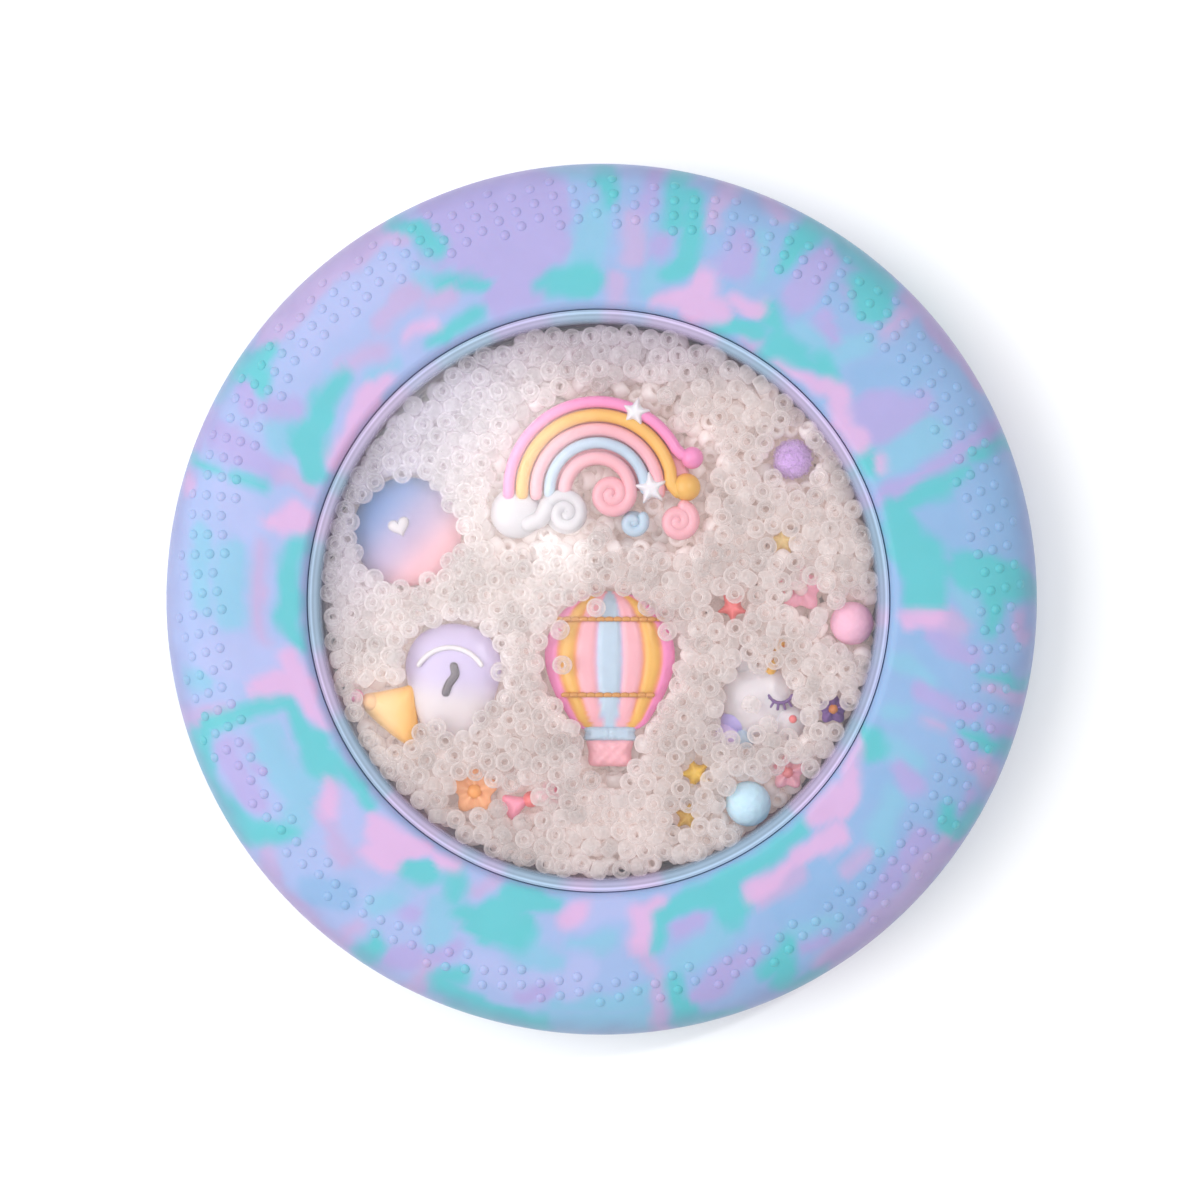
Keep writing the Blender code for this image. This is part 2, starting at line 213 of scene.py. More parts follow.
def petal_outline(radius, petals=5, depth=0.3, steps=80):
    angles = np.linspace(0, math.tau, steps, endpoint=False)
    reach = radius * (1 - depth * (1 - np.cos(petals * angles)) / 2)
    return np.column_stack([reach * np.sin(angles), reach * np.cos(angles)])


def heart_outline(size, turn=0.0, steps=48):
    t = np.linspace(0, math.tau, steps, endpoint=False)
    x = 16 * np.sin(t) ** 3
    y = 13 * np.cos(t) - 5 * np.cos(2 * t) - 2 * np.cos(3 * t) - np.cos(4 * t)
    return size / 16 * np.column_stack([x, y]) @ turn_matrix(turn)


def anticlockwise(outline):
    """The same outline run anticlockwise, so that the faces made from it point out."""
    x, y = outline.T
    area = np.sum(x * np.roll(y, -1) - y * np.roll(x, -1))
    return outline if area > 0 else outline[::-1]


def puff(shape, outline, centre, low, high, tint, rings=12, crown=3.0, relief=None):
    """A cast piece with this outline about its centre: a flat back, rounded sides and a crowned top. tint is
    a colour, or a function of x and y. relief is a function of x and y that is added to the top's height.
    """
    outline = anticlockwise(np.asarray(outline, float))
    centre = np.asarray(centre, float)
    columns = len(outline)
    edge = low + 0.45 * (high - low)
    levels = [(0.9, low), (0.985, low + 0.18 * (edge - low)), (1.0, edge)]
    for i in range(1, rings):
        share = 1 - (i / rings) ** 1.6
        levels.append((share, edge + (high - edge) * (1 - share**crown) ** (1 / crown * 1.4)))
    points = [(*centre, low)]
    for share, z in levels:
        ring = centre + outline * share
        rise = relief(ring[:, 0], ring[:, 1]) * (1 - share**6) if relief is not None and z > edge else 0
        points += np.column_stack([ring, np.full(columns, z) + rise]).tolist()
    top = relief(centre[:1], centre[1:])[0] if relief is not None else 0
    points.append((*centre, high + top))
    points = np.asarray(points)
    tints = tint(points[:, 0], points[:, 1]) if callable(tint) else tint
    shape.add(points, loft_faces(len(levels), columns), tints)


def tube(shape, path, radius, tint, sides=14, flatten=1.0):
    """A round cord along the path with round ends. flatten scales its height."""
    path = np.asarray(path, float)
    tangents = np.gradient(path, axis=0)
    tangents /= np.linalg.norm(tangents, axis=1)[:, None]
    reach = np.full(len(path), float(radius))
    bends = (0.5, 0.95, 1.3)  # radians round each end
    widths = [radius * math.cos(a) for a in bends]
    first = [path[0] - tangents[0] * radius * math.sin(a) for a in bends]
    last = [path[-1] + tangents[-1] * radius * math.sin(a) for a in bends]
    path = np.vstack([first[::-1], path, last])
    tangents = np.vstack([np.repeat(tangents[:1], 3, 0), tangents, np.repeat(tangents[-1:], 3, 0)])
    reach = np.concatenate([widths[::-1], reach, widths])
    across = np.cross(tangents, (0, 0, 1))
    across /= np.linalg.norm(across, axis=1)[:, None]
    over = np.cross(across, tangents)
    points = [path[0] - tangents[0] * radius * 0.03]
    for i in range(len(path)):
        angles = np.linspace(0, math.tau, sides, endpoint=False)
        spread = np.outer(np.cos(angles), across[i]) + np.outer(np.sin(angles), over[i]) * flatten
        points += (path[i] + reach[i] * spread).tolist()
    points.append(path[-1] + tangents[-1] * radius * 0.03)
    faces = [face[::-1] for face in loft_faces(len(path), sides)]
    shape.add(points, faces, tint)


def arc_path(centre, radius, start, end, z, steps=40):
    """Points along an arc in mm, with angles in degrees. The radius may change linearly to a second one."""
    first, last = radius if isinstance(radius, tuple) else (radius, radius)
    angles = np.radians(np.linspace(start, end, steps))
    reach = np.linspace(first, last, steps)
    return np.column_stack(
        [centre[0] + reach * np.cos(angles), centre[1] + reach * np.sin(angles), np.full(steps, z)]
    )


def curve_path(corners, z, steps=8):
    """An open smooth curve through the corners."""
    corners = np.asarray(corners, float)
    padded = np.vstack([2 * corners[0] - corners[1], corners, 2 * corners[-1] - corners[-2]])
    rows = []
    for i in range(len(corners) - 1):
        rows += [catmull_rom(*padded[i : i + 4], t) for t in np.linspace(0, 1, steps, endpoint=False)]
    rows.append(corners[-1])
    rows = np.asarray(rows)
    return np.column_stack([rows, np.full(len(rows), z)])


def ball(shape, centre, radius, tint, roughness=0.0, wave=0.8, seed=1, steps=28):
    """A ball whose surface is a little uneven."""
    columns = 2 * steps
    rows = []
    for i in range(1, steps):
        a = math.pi * i / steps - math.pi / 2
        rows.append(np.column_stack([round_outline(math.cos(a), columns), np.full(columns, math.sin(a))]))
    directions = np.vstack([[(0, 0, -1)], *rows, [(0, 0, 1)]])
    reach = radius * (1 - roughness) + radius * roughness * ripple(directions * radius, wave, seed)
    points = np.asarray(centre) + directions * reach[:, None]
    tints = tint(points[:, 0], points[:, 1]) if callable(tint) else tint
    shape.add(points, loft_faces(steps - 1, columns), tints)


def ripple(points, wavelength, seed, waves=9):
    """Smooth noise from -1 to 1: a sum of waves in seeded directions."""
    points = np.asarray(points, float)
    rng = np.random.default_rng(seed)
    total = np.zeros(len(points))
    for _ in range(waves):
        direction = rng.normal(size=points.shape[1])
        direction *= math.tau / (wavelength * rng.uniform(0.7, 1.5) * np.linalg.norm(direction))
        total += np.sin(points @ direction + rng.uniform(0, math.tau))
    return np.clip(total / math.sqrt(waves / 2) / 2, -1, 1)


def smooth(low, high, value):
    share = np.clip((value - low) / (high - low), 0, 1)
    return share * share * (3 - 2 * share)


def mixed(first, second, share):
    """Two sRGB colours mixed. share is how much of the second there is at each point."""
    share = np.asarray(share)[..., None]
    return np.asarray(first, float) * (1 - share) + np.asarray(second, float) * share


def add_piece(name, mesh, finish, body, slot, *nodes):
    """An object that rides on a body and stands for CAD nodes."""
    mesh.materials.append(finish)
    piece = bpy.data.objects.new(name, mesh)
    bpy.context.scene.collection.objects.link(piece)
    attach(piece, body)
    if nodes:
        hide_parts(*nodes)
    return piece


# --- Materials ---------------------------------------------------------------------------------------


class Finish:
    """A material with a Principled shader, and short ways to add nodes to it."""

    def __init__(self, name, **values):
        self.material = bpy.data.materials.new(name)
        self.material.use_nodes = True
        self.nodes = self.material.node_tree.nodes
        self.links = self.material.node_tree.links
        self.shader = self.nodes["Principled BSDF"]
        self.output = self.nodes["Material Output"]
        for socket, value in values.items():
            self.shader.inputs[socket.replace("_", " ")].default_value = value

    def node(self, kind, **settings):
        made = self.nodes.new(kind)
        for key, value in settings.items():
            setattr(made, key, value)
        return made

    def link(self, source, target):
        self.links.new(source, target)

    def blend(self, share, first, second):
        """Two shaders mixed. share is a socket, how much of the second there is."""
        made = self.node("ShaderNodeMixShader")
        self.link(share, made.inputs["Fac"])
        self.link(first, made.inputs[1])
        self.link(second, made.inputs[2])
        return made.outputs["Shader"]

    def noise(self, scale, detail=3.0, roughness=0.5):
        """Noise in the object's own space, with its scale in features per metre."""
        place = self.node("ShaderNodeTexCoord")
        made = self.node("ShaderNodeTexNoise")
        made.inputs["Scale"].default_value = scale
        made.inputs["Detail"].default_value = detail
        made.inputs["Roughness"].default_value = roughness
        self.link(place.outputs["Object"], made.inputs["Vector"])
        return made.outputs["Fac"]

    def spread(self, value, low, high):
        """A noise value, which stays mostly between 0.3 and 0.7, stretched to a range."""
        made = self.node("ShaderNodeMapRange")
        made.inputs["From Min"].default_value = 0.3
        made.inputs["From Max"].default_value = 0.7
        made.inputs["To Min"].default_value = low
        made.inputs["To Max"].default_value = high
        self.link(value, made.inputs["Value"])
        return made.outputs["Result"]

    def tint(self, amount, scale, shade=1.0):
        """The colour painted on the mesh, times a shade, with its brightness varied a little."""
        paint = self.node("ShaderNodeAttribute", attribute_name="tint")
        vary = self.node("ShaderNodeHueSaturation")
        value = self.spread(self.noise(scale), shade * (1 - amount), shade * (1 + amount))
        self.link(paint.outputs["Color"], vary.inputs["Color"])
        self.link(value, vary.inputs["Value"])
        self.link(vary.outputs["Color"], self.shader.inputs["Base Color"])

    def bump(self, height, strength, distance):
        made = self.node("ShaderNodeBump")
        made.inputs["Strength"].default_value = strength
        made.inputs["Distance"].default_value = distance
        self.link(height, made.inputs["Height"])
        self.link(made.outputs["Normal"], self.shader.inputs["Normal"])


def silicone_finish():
    """Soft matte silicone: the marbling is painted on the mesh, over a fine moulded texture."""
    finish = Finish(
        "marbled_silicone", Subsurface_Weight=0.12, Subsurface_Scale=0.0015, IOR=1.41, Sheen_Weight=0.08
    )
    finish.tint(0.02, 180, SILICONE_SHADE)
    finish.link(finish.spread(finish.noise(350), 0.46, 0.58), finish.shader.inputs["Roughness"])
    finish.bump(finish.noise(9000, 2.0), 0.06, 0.0001)
    return finish.material


def resin_finish(name, low=0.28, high=0.42, shade=1.0):
    """Cast resin: satin, slightly uneven, a little light in its depth."""
    finish = Finish(name, Subsurface_Weight=0.1, Subsurface_Scale=0.001, IOR=1.5)
    finish.tint(0.03, 500, shade)
    finish.link(finish.spread(finish.noise(900), low, high), finish.shader.inputs["Roughness"])
    finish.bump(finish.noise(1500, 2.0), 0.12, 0.0001)
    return finish.material


def foam_finish():
    """Closed-cell foam: matte with fine cells."""
    finish = Finish("matte_foam", Subsurface_Weight=0.15, Subsurface_Scale=0.001)
    finish.tint(0.03, 700)
    finish.link(finish.spread(finish.noise(1200), 0.75, 0.95), finish.shader.inputs["Roughness"])
    finish.bump(finish.noise(4500, 3.0), 0.35, 0.00015)
    return finish.material


def felt_finish():
    """Felted wool: rough, with sheen from its fibres."""
    finish = Finish("felted_wool", Roughness=0.95, Sheen_Weight=0.6, Sheen_Roughness=0.5)
    finish.tint(0.12, 2500)
    finish.bump(finish.noise(5000, 5.0, 0.7), 0.8, 0.0003)
    return finish.material


def clear_finish(name, colour, roughness):
    """Thin clear plastic: what is behind shows unbent, and the surface mirrors by Fresnel. The edge is
    painted hazy with the colour round it and with light and dark lines, a painted reflection of the silicone
    in the capsule's walls.
    """
    finish = Finish(name, Roughness=0.25, IOR=1.49)
    finish.tint(0.03, 300)
    through = finish.node("ShaderNodeBsdfTransparent")
    through.inputs["Color"].default_value = (*colour, 1)
    mirror = finish.node("ShaderNodeBsdfGlossy")
    mirror.inputs["Roughness"].default_value = roughness
    turned_away = finish.node("ShaderNodeLayerWeight")
    turned_away.inputs["Blend"].default_value = 0.5
    steep = finish.node("ShaderNodeMath", operation="POWER")
    steep.inputs[1].default_value = 5  # Schlick's approximation of Fresnel
    finish.link(turned_away.outputs["Facing"], steep.inputs[0])
    fresnel = finish.node("ShaderNodeMapRange")
    fresnel.inputs["To Min"].default_value = 0.04
    finish.link(steep.outputs["Value"], fresnel.inputs["Value"])
    clear = finish.blend(fresnel.outputs["Result"], through.outputs["BSDF"], mirror.outputs["BSDF"])
    paint = finish.node("ShaderNodeAttribute", attribute_name="tint")
    hazy = finish.blend(paint.outputs["Alpha"], clear, finish.shader.outputs["BSDF"])
    finish.link(hazy, finish.output.inputs["Surface"])
    return finish.material


def bead_finish():
    """Clear beads: light soaks through their walls, they are milky where the skin turns away, and they are
    see-through where it faces out. Beads deep in the pile are painted solid. The faint warm emission stands
    for the light that reaches the inside of a pile of clear beads.
    """
    glow = (1.0, 0.84, 0.8, 1)
    finish = Finish("clear_bead", Roughness=0.12, IOR=1.46, Emission_Color=glow, Emission_Strength=0.11)
    paint = finish.node("ShaderNodeAttribute", attribute_name="tint")
    finish.link(paint.outputs["Color"], finish.shader.inputs["Base Color"])
    soaked = finish.node("ShaderNodeBsdfTranslucent")
    finish.link(paint.outputs["Color"], soaked.inputs["Color"])
    body = finish.node("ShaderNodeMixShader")
    body.inputs["Fac"].default_value = 0.45
    finish.link(finish.shader.outputs["BSDF"], body.inputs[1])
    finish.link(soaked.outputs["BSDF"], body.inputs[2])
    facing = finish.node("ShaderNodeLayerWeight")
    facing.inputs["Blend"].default_value = 0.4
    strength = finish.node("ShaderNodeMapRange")
    strength.inputs["To Min"].default_value = 0.25
    strength.inputs["To Max"].default_value = 0.95
    finish.link(facing.outputs["Facing"], strength.inputs["Value"])
    solid = finish.node("ShaderNodeMath", operation="MAXIMUM")
    finish.link(strength.outputs["Result"], solid.inputs[0])
    finish.link(paint.outputs["Alpha"], solid.inputs[1])
    through = finish.node("ShaderNodeBsdfTransparent")
    glassy = finish.blend(solid.outputs["Value"], through.outputs["BSDF"], body.outputs["Shader"])
    finish.link(glassy, finish.output.inputs["Surface"])
    return finish.material


# --- The silicone ring -------------------------------------------------------------------------------

# The marbling on the front, as strokes laid one over another. Each row is a tint and the strokes in it: the
# angle in degrees from +X, the radius and the half width in mm at one end, and the same at the other end.
STROKES = (
    (SKY,
     (8, 70, 3, 18, 70, 3), (8, 60, 3, 16, 60, 3), (303, 62, 3, 313, 61, 2.4), (226, 69, 2.6, 229, 67, 2.4),
     (36, 66, 2, 40, 59, 1.6), (325, 56, 1.6, 328, 57, 1.6), (310, 66, 2, 322, 65, 2),
     (342, 63, 2, 352, 55, 2)),
    (AQUA,
     (27, 52, 3, 27, 62, 3), (44, 62, 1.6, 46, 57, 1.6), (47, 56, 1.5, 53, 57, 1.5),
     (64, 62, 1.2, 66, 67, 1.2), (92, 73, 1.4, 97, 73.5, 1), (90, 65, 2.4, 92, 58, 3),
     (115, 64, 1.6, 119, 62, 1.5), (150, 62, 2, 153, 60, 2), (148, 73.5, 1.5, 152, 74, 1),
     (171, 68.5, 1.8, 180, 67.5, 1.8), (173, 63, 2.4, 182, 62, 2.4), (191, 71, 1.5, 191.5, 69, 1.5),
     (203, 61, 2.8, 212, 60, 2.6), (216, 64, 2, 214, 60, 1.8), (236, 61, 1.6, 234, 64, 1.6),
     (243, 59, 2, 245, 63, 2), (258, 60, 2.6, 263, 62, 2), (262, 73, 2, 276, 72.5, 2.6),
     (264, 69, 1.5, 276, 68, 1.8), (283, 63, 1.6, 290, 60, 1.8), (320, 63, 2, 326, 60, 2),
     (333, 60, 1.6, 334, 55, 1.8), (347, 58, 1, 348, 52, 1.4), (339.5, 52, 1.2, 341, 55, 0.8),
     (358, 63, 1, 361, 62, 2), (266, 58, 0.8, 272, 57.5, 1.3), (80, 56, 1.8, 81, 53, 1.3),
     (130, 53, 0.6, 136, 53.6, 0.7), (301, 65, 1, 306, 67, 1)),
    (PERIWINKLE,
     (123, 66, 2.6, 138, 66, 2.6), (188, 66, 3, 190, 58, 3), (218, 55, 2, 224, 57.5, 1.6),
     (252, 65, 1.8, 263, 66, 2), (266, 66, 2.2, 268, 62, 2.2), (268, 53, 2.4, 274, 52, 2),
     (163, 66, 2.4, 168, 60, 2)),
    (LAVENDER,
     (20, 52, 2, 20.5, 58, 1.4), (21, 60, 1.5, 23.3, 68, 1.3), (23.5, 69, 1.3, 24, 75, 1.2),
     (31, 65, 1.3, 33, 57, 4), (50.5, 68, 1.3, 52, 72, 1), (56, 72, 1.6, 56.5, 62, 2.6),
     (47.8, 59.5, 1.3, 50.8, 61, 1.5), (68, 62, 2.8, 69, 66, 1.6), (82, 74, 1.5, 83, 67, 1.3),
     (79.5, 62, 1.5, 80, 61, 1.5), (100, 68, 6, 112, 68, 5), (98, 61, 3.2, 110, 61, 3.2),
     (102, 56, 4, 107, 54, 3), (100, 74, 2, 113, 74, 2), (149, 70, 1.6, 151, 68, 1.6),
     (147.5, 60.5, 1.5, 149, 65, 1.5), (155, 74, 1.6, 158.5, 74, 1.6), (156.5, 70, 2.2, 158, 58, 1.6),
     (202, 68, 1.8, 210, 68, 2), (202.6, 64.5, 0.8, 203, 64.5, 0.8), (206, 64.3, 0.8, 206.4, 64.3, 0.8),
     (238.6, 62, 1.5, 239.2, 62, 1.5), (240, 70, 1.8, 243, 68, 1.8), (245.5, 66, 1.2, 248, 63.5, 1.2),
     (259.5, 68, 1, 262, 67, 1.2), (284, 69, 1.4, 288, 67.5, 2), (288, 66.5, 1.6, 294, 65, 1.6),
     (283.5, 57.3, 1.1, 287.5, 57, 1.4), (301, 68, 1, 304, 69, 1), (312, 69, 1.6, 318, 68, 1.6),
     (320, 69, 1.6, 324, 68, 1.6), (331, 72, 0.9, 333, 71, 0.9), (337, 69, 1.6, 338, 66, 1.3),
     (330, 62, 1.6, 331, 58, 1.5), (343, 66, 1.4, 344.5, 58, 1.6), (342.5, 74, 1.1, 342.5, 70, 1.1),
     (352, 64, 1.6, 354, 58, 1.8)),
    (ORCHID,
     (30, 75, 1.6, 44, 74.5, 1.6), (42.8, 73, 1.4, 43, 66, 1), (57, 50.5, 1, 60, 51, 1.2),
     (72.8, 74, 1.6, 73, 67, 0.9), (64.5, 71.5, 1, 67, 75, 1.6), (84, 65, 1.5, 84, 59, 1.8),
     (87, 54.5, 1.6, 86.5, 51, 1.2), (118.5, 70, 1.5, 120, 72, 2), (115.5, 57.3, 1.4, 119, 58, 1.2),
     (121, 73, 2.6, 141, 72.5, 2.6), (121, 61, 2, 128, 60, 1.5), (131, 56, 1.3, 138, 58.5, 1.2),
     (158, 57, 1.2, 158.5, 52, 1.2), (171, 57.6, 1, 186, 57, 1), (195.5, 75, 1.7, 196.2, 66, 1),
     (217, 70, 1.2, 220, 73, 1.6), (219, 74.5, 1.4, 233, 74.5, 1.5), (233.5, 74, 1.2, 233.5, 69, 1),
     (218, 59, 1.4, 226, 61.5, 1.6), (244.5, 74, 1.4, 245, 68, 1), (246.5, 53, 0.8, 249, 51, 1.2),
     (278.5, 74.5, 1.6, 279.2, 66, 1.1), (279, 64, 1, 277, 59, 1.6), (301.5, 72.5, 1.6, 310, 73, 2),
     (310, 73, 2, 326, 72.5, 2.4), (313, 62, 1.2, 317, 62, 1.2), (300, 57, 1.6, 306, 57.5, 2),
     (335, 73.5, 1.2, 337, 71, 1.6), (339.8, 62, 0.8, 340, 59.5, 0.8), (347.3, 74, 1.1, 347.2, 67, 0.8),
     (355.5, 72.5, 1.2, 358, 72, 1), (356, 61, 1.5, 357, 57, 1.8)),
    (TEAL,
     (1.5, 74, 2, 4.5, 63, 3.2), (2, 55.5, 3.2, 8, 55, 3.6), (8, 54, 3, 17, 52.3, 1.8),
     (17, 53, 1.6, 18.3, 61, 1.6), (18.3, 61, 1.3, 19.5, 66, 0.9), (21.3, 68, 1, 21.5, 75, 1.1),
     (26.5, 51, 1.2, 28.5, 51.5, 1.6), (47, 68.5, 2.6, 49, 71, 3), (49, 73, 1.6, 60, 74.5, 1.4),
     (60, 73.5, 2.4, 61, 65, 0.8), (43.5, 54.5, 1.2, 47, 55, 1.8), (49, 53.5, 1, 54, 52.5, 2.5),
     (54, 52, 2.5, 56, 53.5, 1.6), (56, 54.5, 1.3, 60, 57, 1.6), (60, 52.5, 1.7, 66, 50.8, 1.2),
     (78.8, 74, 1.6, 78.5, 65, 1.4), (76.5, 70, 1.5, 74.8, 60, 1.7), (74.5, 59, 1.5, 77, 57, 1.6),
     (89.5, 72.5, 1.8, 88, 67.5, 1.2), (92, 54.5, 2.6, 97, 54.3, 2.2), (97, 54, 1.6, 100.5, 54.5, 0.8),
     (119, 73.5, 1.2, 115.5, 69, 1.6), (115.5, 69, 1.7, 114.5, 66, 1.4), (112, 58.5, 1.2, 116, 60.5, 1.1),
     (110, 56.5, 0.8, 112, 58, 1.1), (112.5, 52.5, 1.1, 120, 52.3, 1.6), (120, 52.3, 1.3, 123, 51.5, 0.7),
     (139, 57, 1.2, 144, 57.5, 2), (144, 57.5, 1.8, 150, 55, 1.5), (150, 56.5, 2.4, 155, 53, 1.8),
     (143, 70, 1.2, 147, 73, 2.4), (146.5, 69, 2, 147.5, 67.5, 1.2), (161, 73, 0.8, 160.8, 68, 0.5),
     (161, 65, 1, 160.8, 59, 0.7), (170, 52.6, 1.4, 182, 52.8, 1.8), (167, 51, 0.7, 170, 52, 1.2),
     (182, 52.6, 1.6, 188, 51.4, 1), (199, 72, 2.2, 205, 73.5, 1.4), (205, 74, 1.3, 213, 72.5, 2.4),
     (198, 70, 1.5, 197.2, 60, 1.2), (197.2, 60, 1.2, 199, 55, 1.2), (200, 54.5, 1, 206, 54, 1.8),
     (206, 53.5, 2.2, 212, 54.5, 2.4), (210, 51.8, 1.3, 222, 51.2, 0.9), (214.5, 70, 1.8, 217, 66, 1.3),
     (237, 73, 2, 236.6, 69, 1.2), (235, 56, 1.6, 238.5, 54.5, 2), (242, 52.5, 1.2, 244, 55, 1.4),
     (246.5, 57, 1.6, 251, 58, 2.6), (252, 57, 3.4, 256, 57.5, 3), (254, 53, 2.4, 262, 51.5, 1.1),
     (247.5, 71, 2, 251, 72.5, 2), (251, 73, 2.2, 262, 73, 1.8), (247.5, 69, 1.2, 250, 67.8, 1.2),
     (282, 73, 1.8, 281.5, 66, 1.2), (282, 74, 1.2, 289, 74, 0.8), (280, 59, 1.2, 281, 55, 1.4),
     (281, 54, 1.6, 286, 52.6, 1.6), (286, 53, 1.7, 294, 53.6, 2.6), (293, 57, 2.2, 296, 56.5, 1.4),
     (294, 52.5, 1.8, 312, 51.6, 1.1), (296, 72, 1.8, 297, 68, 1.6), (294, 69, 1, 299, 66.5, 1.4),
     (297, 74, 1.4, 301, 74.5, 1), (328, 73, 1.6, 331, 73.5, 1.2), (328, 70, 1.8, 329.5, 68.5, 1.2),
     (332, 52.5, 1.6, 333.5, 52, 1.8), (340, 74, 1.3, 340.3, 66, 0.5), (349.3, 74, 0.9, 348.7, 66, 0.4),
     (355.5, 66.5, 0.9, 361, 67, 1.8)),
    (PINK,
     (25.4, 53, 0.8, 26.8, 53.6, 0.9), (31, 51.5, 1.6, 36, 50.8, 1.2), (36, 51, 1.5, 40.5, 54, 1.6),
     (41, 54, 1.5, 44, 52.5, 1.3), (44, 52, 1.2, 53, 50.5, 0.6), (61.5, 56.5, 1.4, 66, 55.5, 1),
     (67, 53, 1.8, 71, 52, 2), (71.5, 52.5, 2.6, 71.3, 58, 1.3), (72, 54, 2, 79, 51.3, 0.8),
     (121, 54.8, 1.1, 126, 54.6, 0.7), (133, 51.5, 0.9, 136, 51.3, 0.9), (137, 51.6, 1.5, 151.5, 51, 1.4),
     (163.8, 74, 0.9, 164.5, 72.6, 0.9), (166.5, 57, 1.4, 164.5, 52.5, 2.6), (194.5, 60, 1.4, 195, 55, 2.2),
     (190, 53.5, 1.4, 196, 52.5, 2.2), (196, 52, 1.8, 204, 50.6, 0.8), (214.5, 55.2, 1, 218, 58, 1.5),
     (224, 52.5, 1.2, 230, 54.5, 3), (229, 57.5, 2, 232, 56.5, 1.4), (232, 53, 2, 236, 51, 1),
     (238, 51, 0.8, 241, 51.5, 1.2), (264.5, 53.8, 1.4, 267, 52, 1.6), (277, 58, 1.7, 278, 53, 1.8),
     (278, 52.5, 1.3, 282, 51.2, 0.8), (298, 55.8, 1.4, 308, 54.8, 0.8), (308, 55, 1.4, 316, 56.5, 1.8),
     (315, 52, 1.6, 321, 52.8, 2.6), (320, 54, 2, 326, 52.5, 1.4), (326, 51.5, 1, 332, 50.5, 0.6),
     (356.7, 57, 1.2, 357.2, 53, 1.8)),
)
SILICONE_SHADE = 0.66
# Lavender painted shade that darkens the rim, where the surface turns away from the light
RIM_PAINTED_SHADE = (140, 132, 184)
BACK_TWIST = 22.0  # degrees between a stroke's ends on the front and on the back


def stroke_distance(angle, radius, stroke):
    """How far each point is outside a stroke, in mm; inside it is negative. The stroke's width tapers."""
    start, start_radius, start_width, end, end_radius, end_width = stroke
    along = math.radians(end - start) * (start_radius + end_radius) / 2
    rise = end_radius - start_radius
    x = np.radians((angle - start + 180) % 360 - 180) * radius
    y = radius - start_radius
    share = np.clip((x * along + y * rise) / (along**2 + rise**2), 0, 1)
    width = start_width + (end_width - start_width) * share
    return np.hypot(x - share * along, y - share * rise) - 1.2 * width


def marbling(points):
    """The colour of the silicone at each point, in sRGB. The strokes run on round the rim, with a twist, and
    a lavender painted shade darkens the rim.
    """
    x, y, z = np.asarray(points, float).T
    warp = 0.7 * np.column_stack([ripple(points, 8, 11), ripple(points, 8, 12)])
    warp += 0.3 * np.column_stack([ripple(points, 3, 13), ripple(points, 3, 14)])
    x = x + warp[:, 0]
    y = y + warp[:, 1]
    radius = np.hypot(x, y)
    angle = np.degrees(np.arctan2(y, x)) + BACK_TWIST * smooth(MIDDLE, 0, z)
    right = smooth(-0.6, 0.6, np.cos(np.radians(angle - 5)))
    colour = mixed(PERIWINKLE, SKY, 0.25 + 0.6 * right)
    softness = 1.15 + 0.35 * ripple(points, 10, 16)
    for tint, *strokes in STROKES:
        outside = np.full(len(x), 99.0)
        for stroke in strokes:
            outside = np.minimum(outside, stroke_distance(angle, radius, stroke))
        colour = mixed(colour, tint, 0.9 * smooth(softness, -softness, outside))
    # Painted shade: the colour is darkened towards lavender near the rim
    return mixed(colour, RIM_PAINTED_SHADE, 0.38 * smooth(70, 75, np.hypot(x, y)))


def face_height(radius):
    """How far the ring's face is above its mid-plane at a radius, in mm."""
    share = np.clip((np.asarray(radius, float) - FLAT_RADIUS) / (RING_RADIUS - FLAT_RADIUS), 0, 1)
    return MIDDLE * (1 - share**RIM_FULLNESS) ** (1 / RIM_FULLNESS)


def ring_profile():
    """Half of the ring's section, from the groove inside it to the rim, as radius and height."""
    half = [(GROOVE_RADIUS, GROOVE_TOP), (52.5, GROOVE_TOP), (OPENING_RADIUS, GROOVE_TOP)]
    half += [(OPENING_RADIUS, z) for z in np.linspace(GROOVE_TOP + 1.5, THICKNESS - LIP_RADIUS, 5)]
    lip = (OPENING_RADIUS + LIP_RADIUS, THICKNESS - LIP_RADIUS)
    for angle in np.radians((160, 140, 120, 100)):
        half.append((lip[0] + LIP_RADIUS * math.cos(angle), lip[1] + LIP_RADIUS * math.sin(angle)))
    half += [(radius, THICKNESS) for radius in np.linspace(lip[0], FLAT_RADIUS, 10, endpoint=False)]
    for angle in np.linspace(math.pi / 2, 0, 30):
        reach = math.cos(angle) ** (2 / RIM_FULLNESS)
        rise = math.sin(angle) ** (2 / RIM_FULLNESS)
        half.append((FLAT_RADIUS + (RING_RADIUS - FLAT_RADIUS) * reach, MIDDLE + MIDDLE * rise))
    return half


def turned(profile, steps):
    """Points and faces of a solid of revolution from a closed outline of radius and height."""
    profile = np.asarray(profile, float)
    rows = len(profile)
    radii, heights = profile.T
    rings = []
    for a in np.linspace(0, math.tau, steps, endpoint=False):
        rings.append(np.column_stack([radii * math.cos(a), radii * math.sin(a), heights]))
    faces = []
    for j in range(steps):
        here, there = j * rows, (j + 1) % steps * rows
        for i in range(rows):
            up = (i + 1) % rows
            faces.append((here + i, there + i, there + up, here + up))
    return np.vstack(rings), faces


def nub_spots():
    """Where the raised dots stand, as angle in degrees and radius."""
    spots = []
    for line in range(NUB_LINES):
        for place in range(NUBS_IN_LINE):
            angle = (NUB_START[0] + 360 / NUB_LINES * line + NUB_STEP[0] * place) % 360
            radius = NUB_START[1] + NUB_STEP[1] * place
            if not (BARE_ANGLES[0] < angle < BARE_ANGLES[1] and radius > BARE_RADIUS):
                spots.append((angle, radius))
    return spots


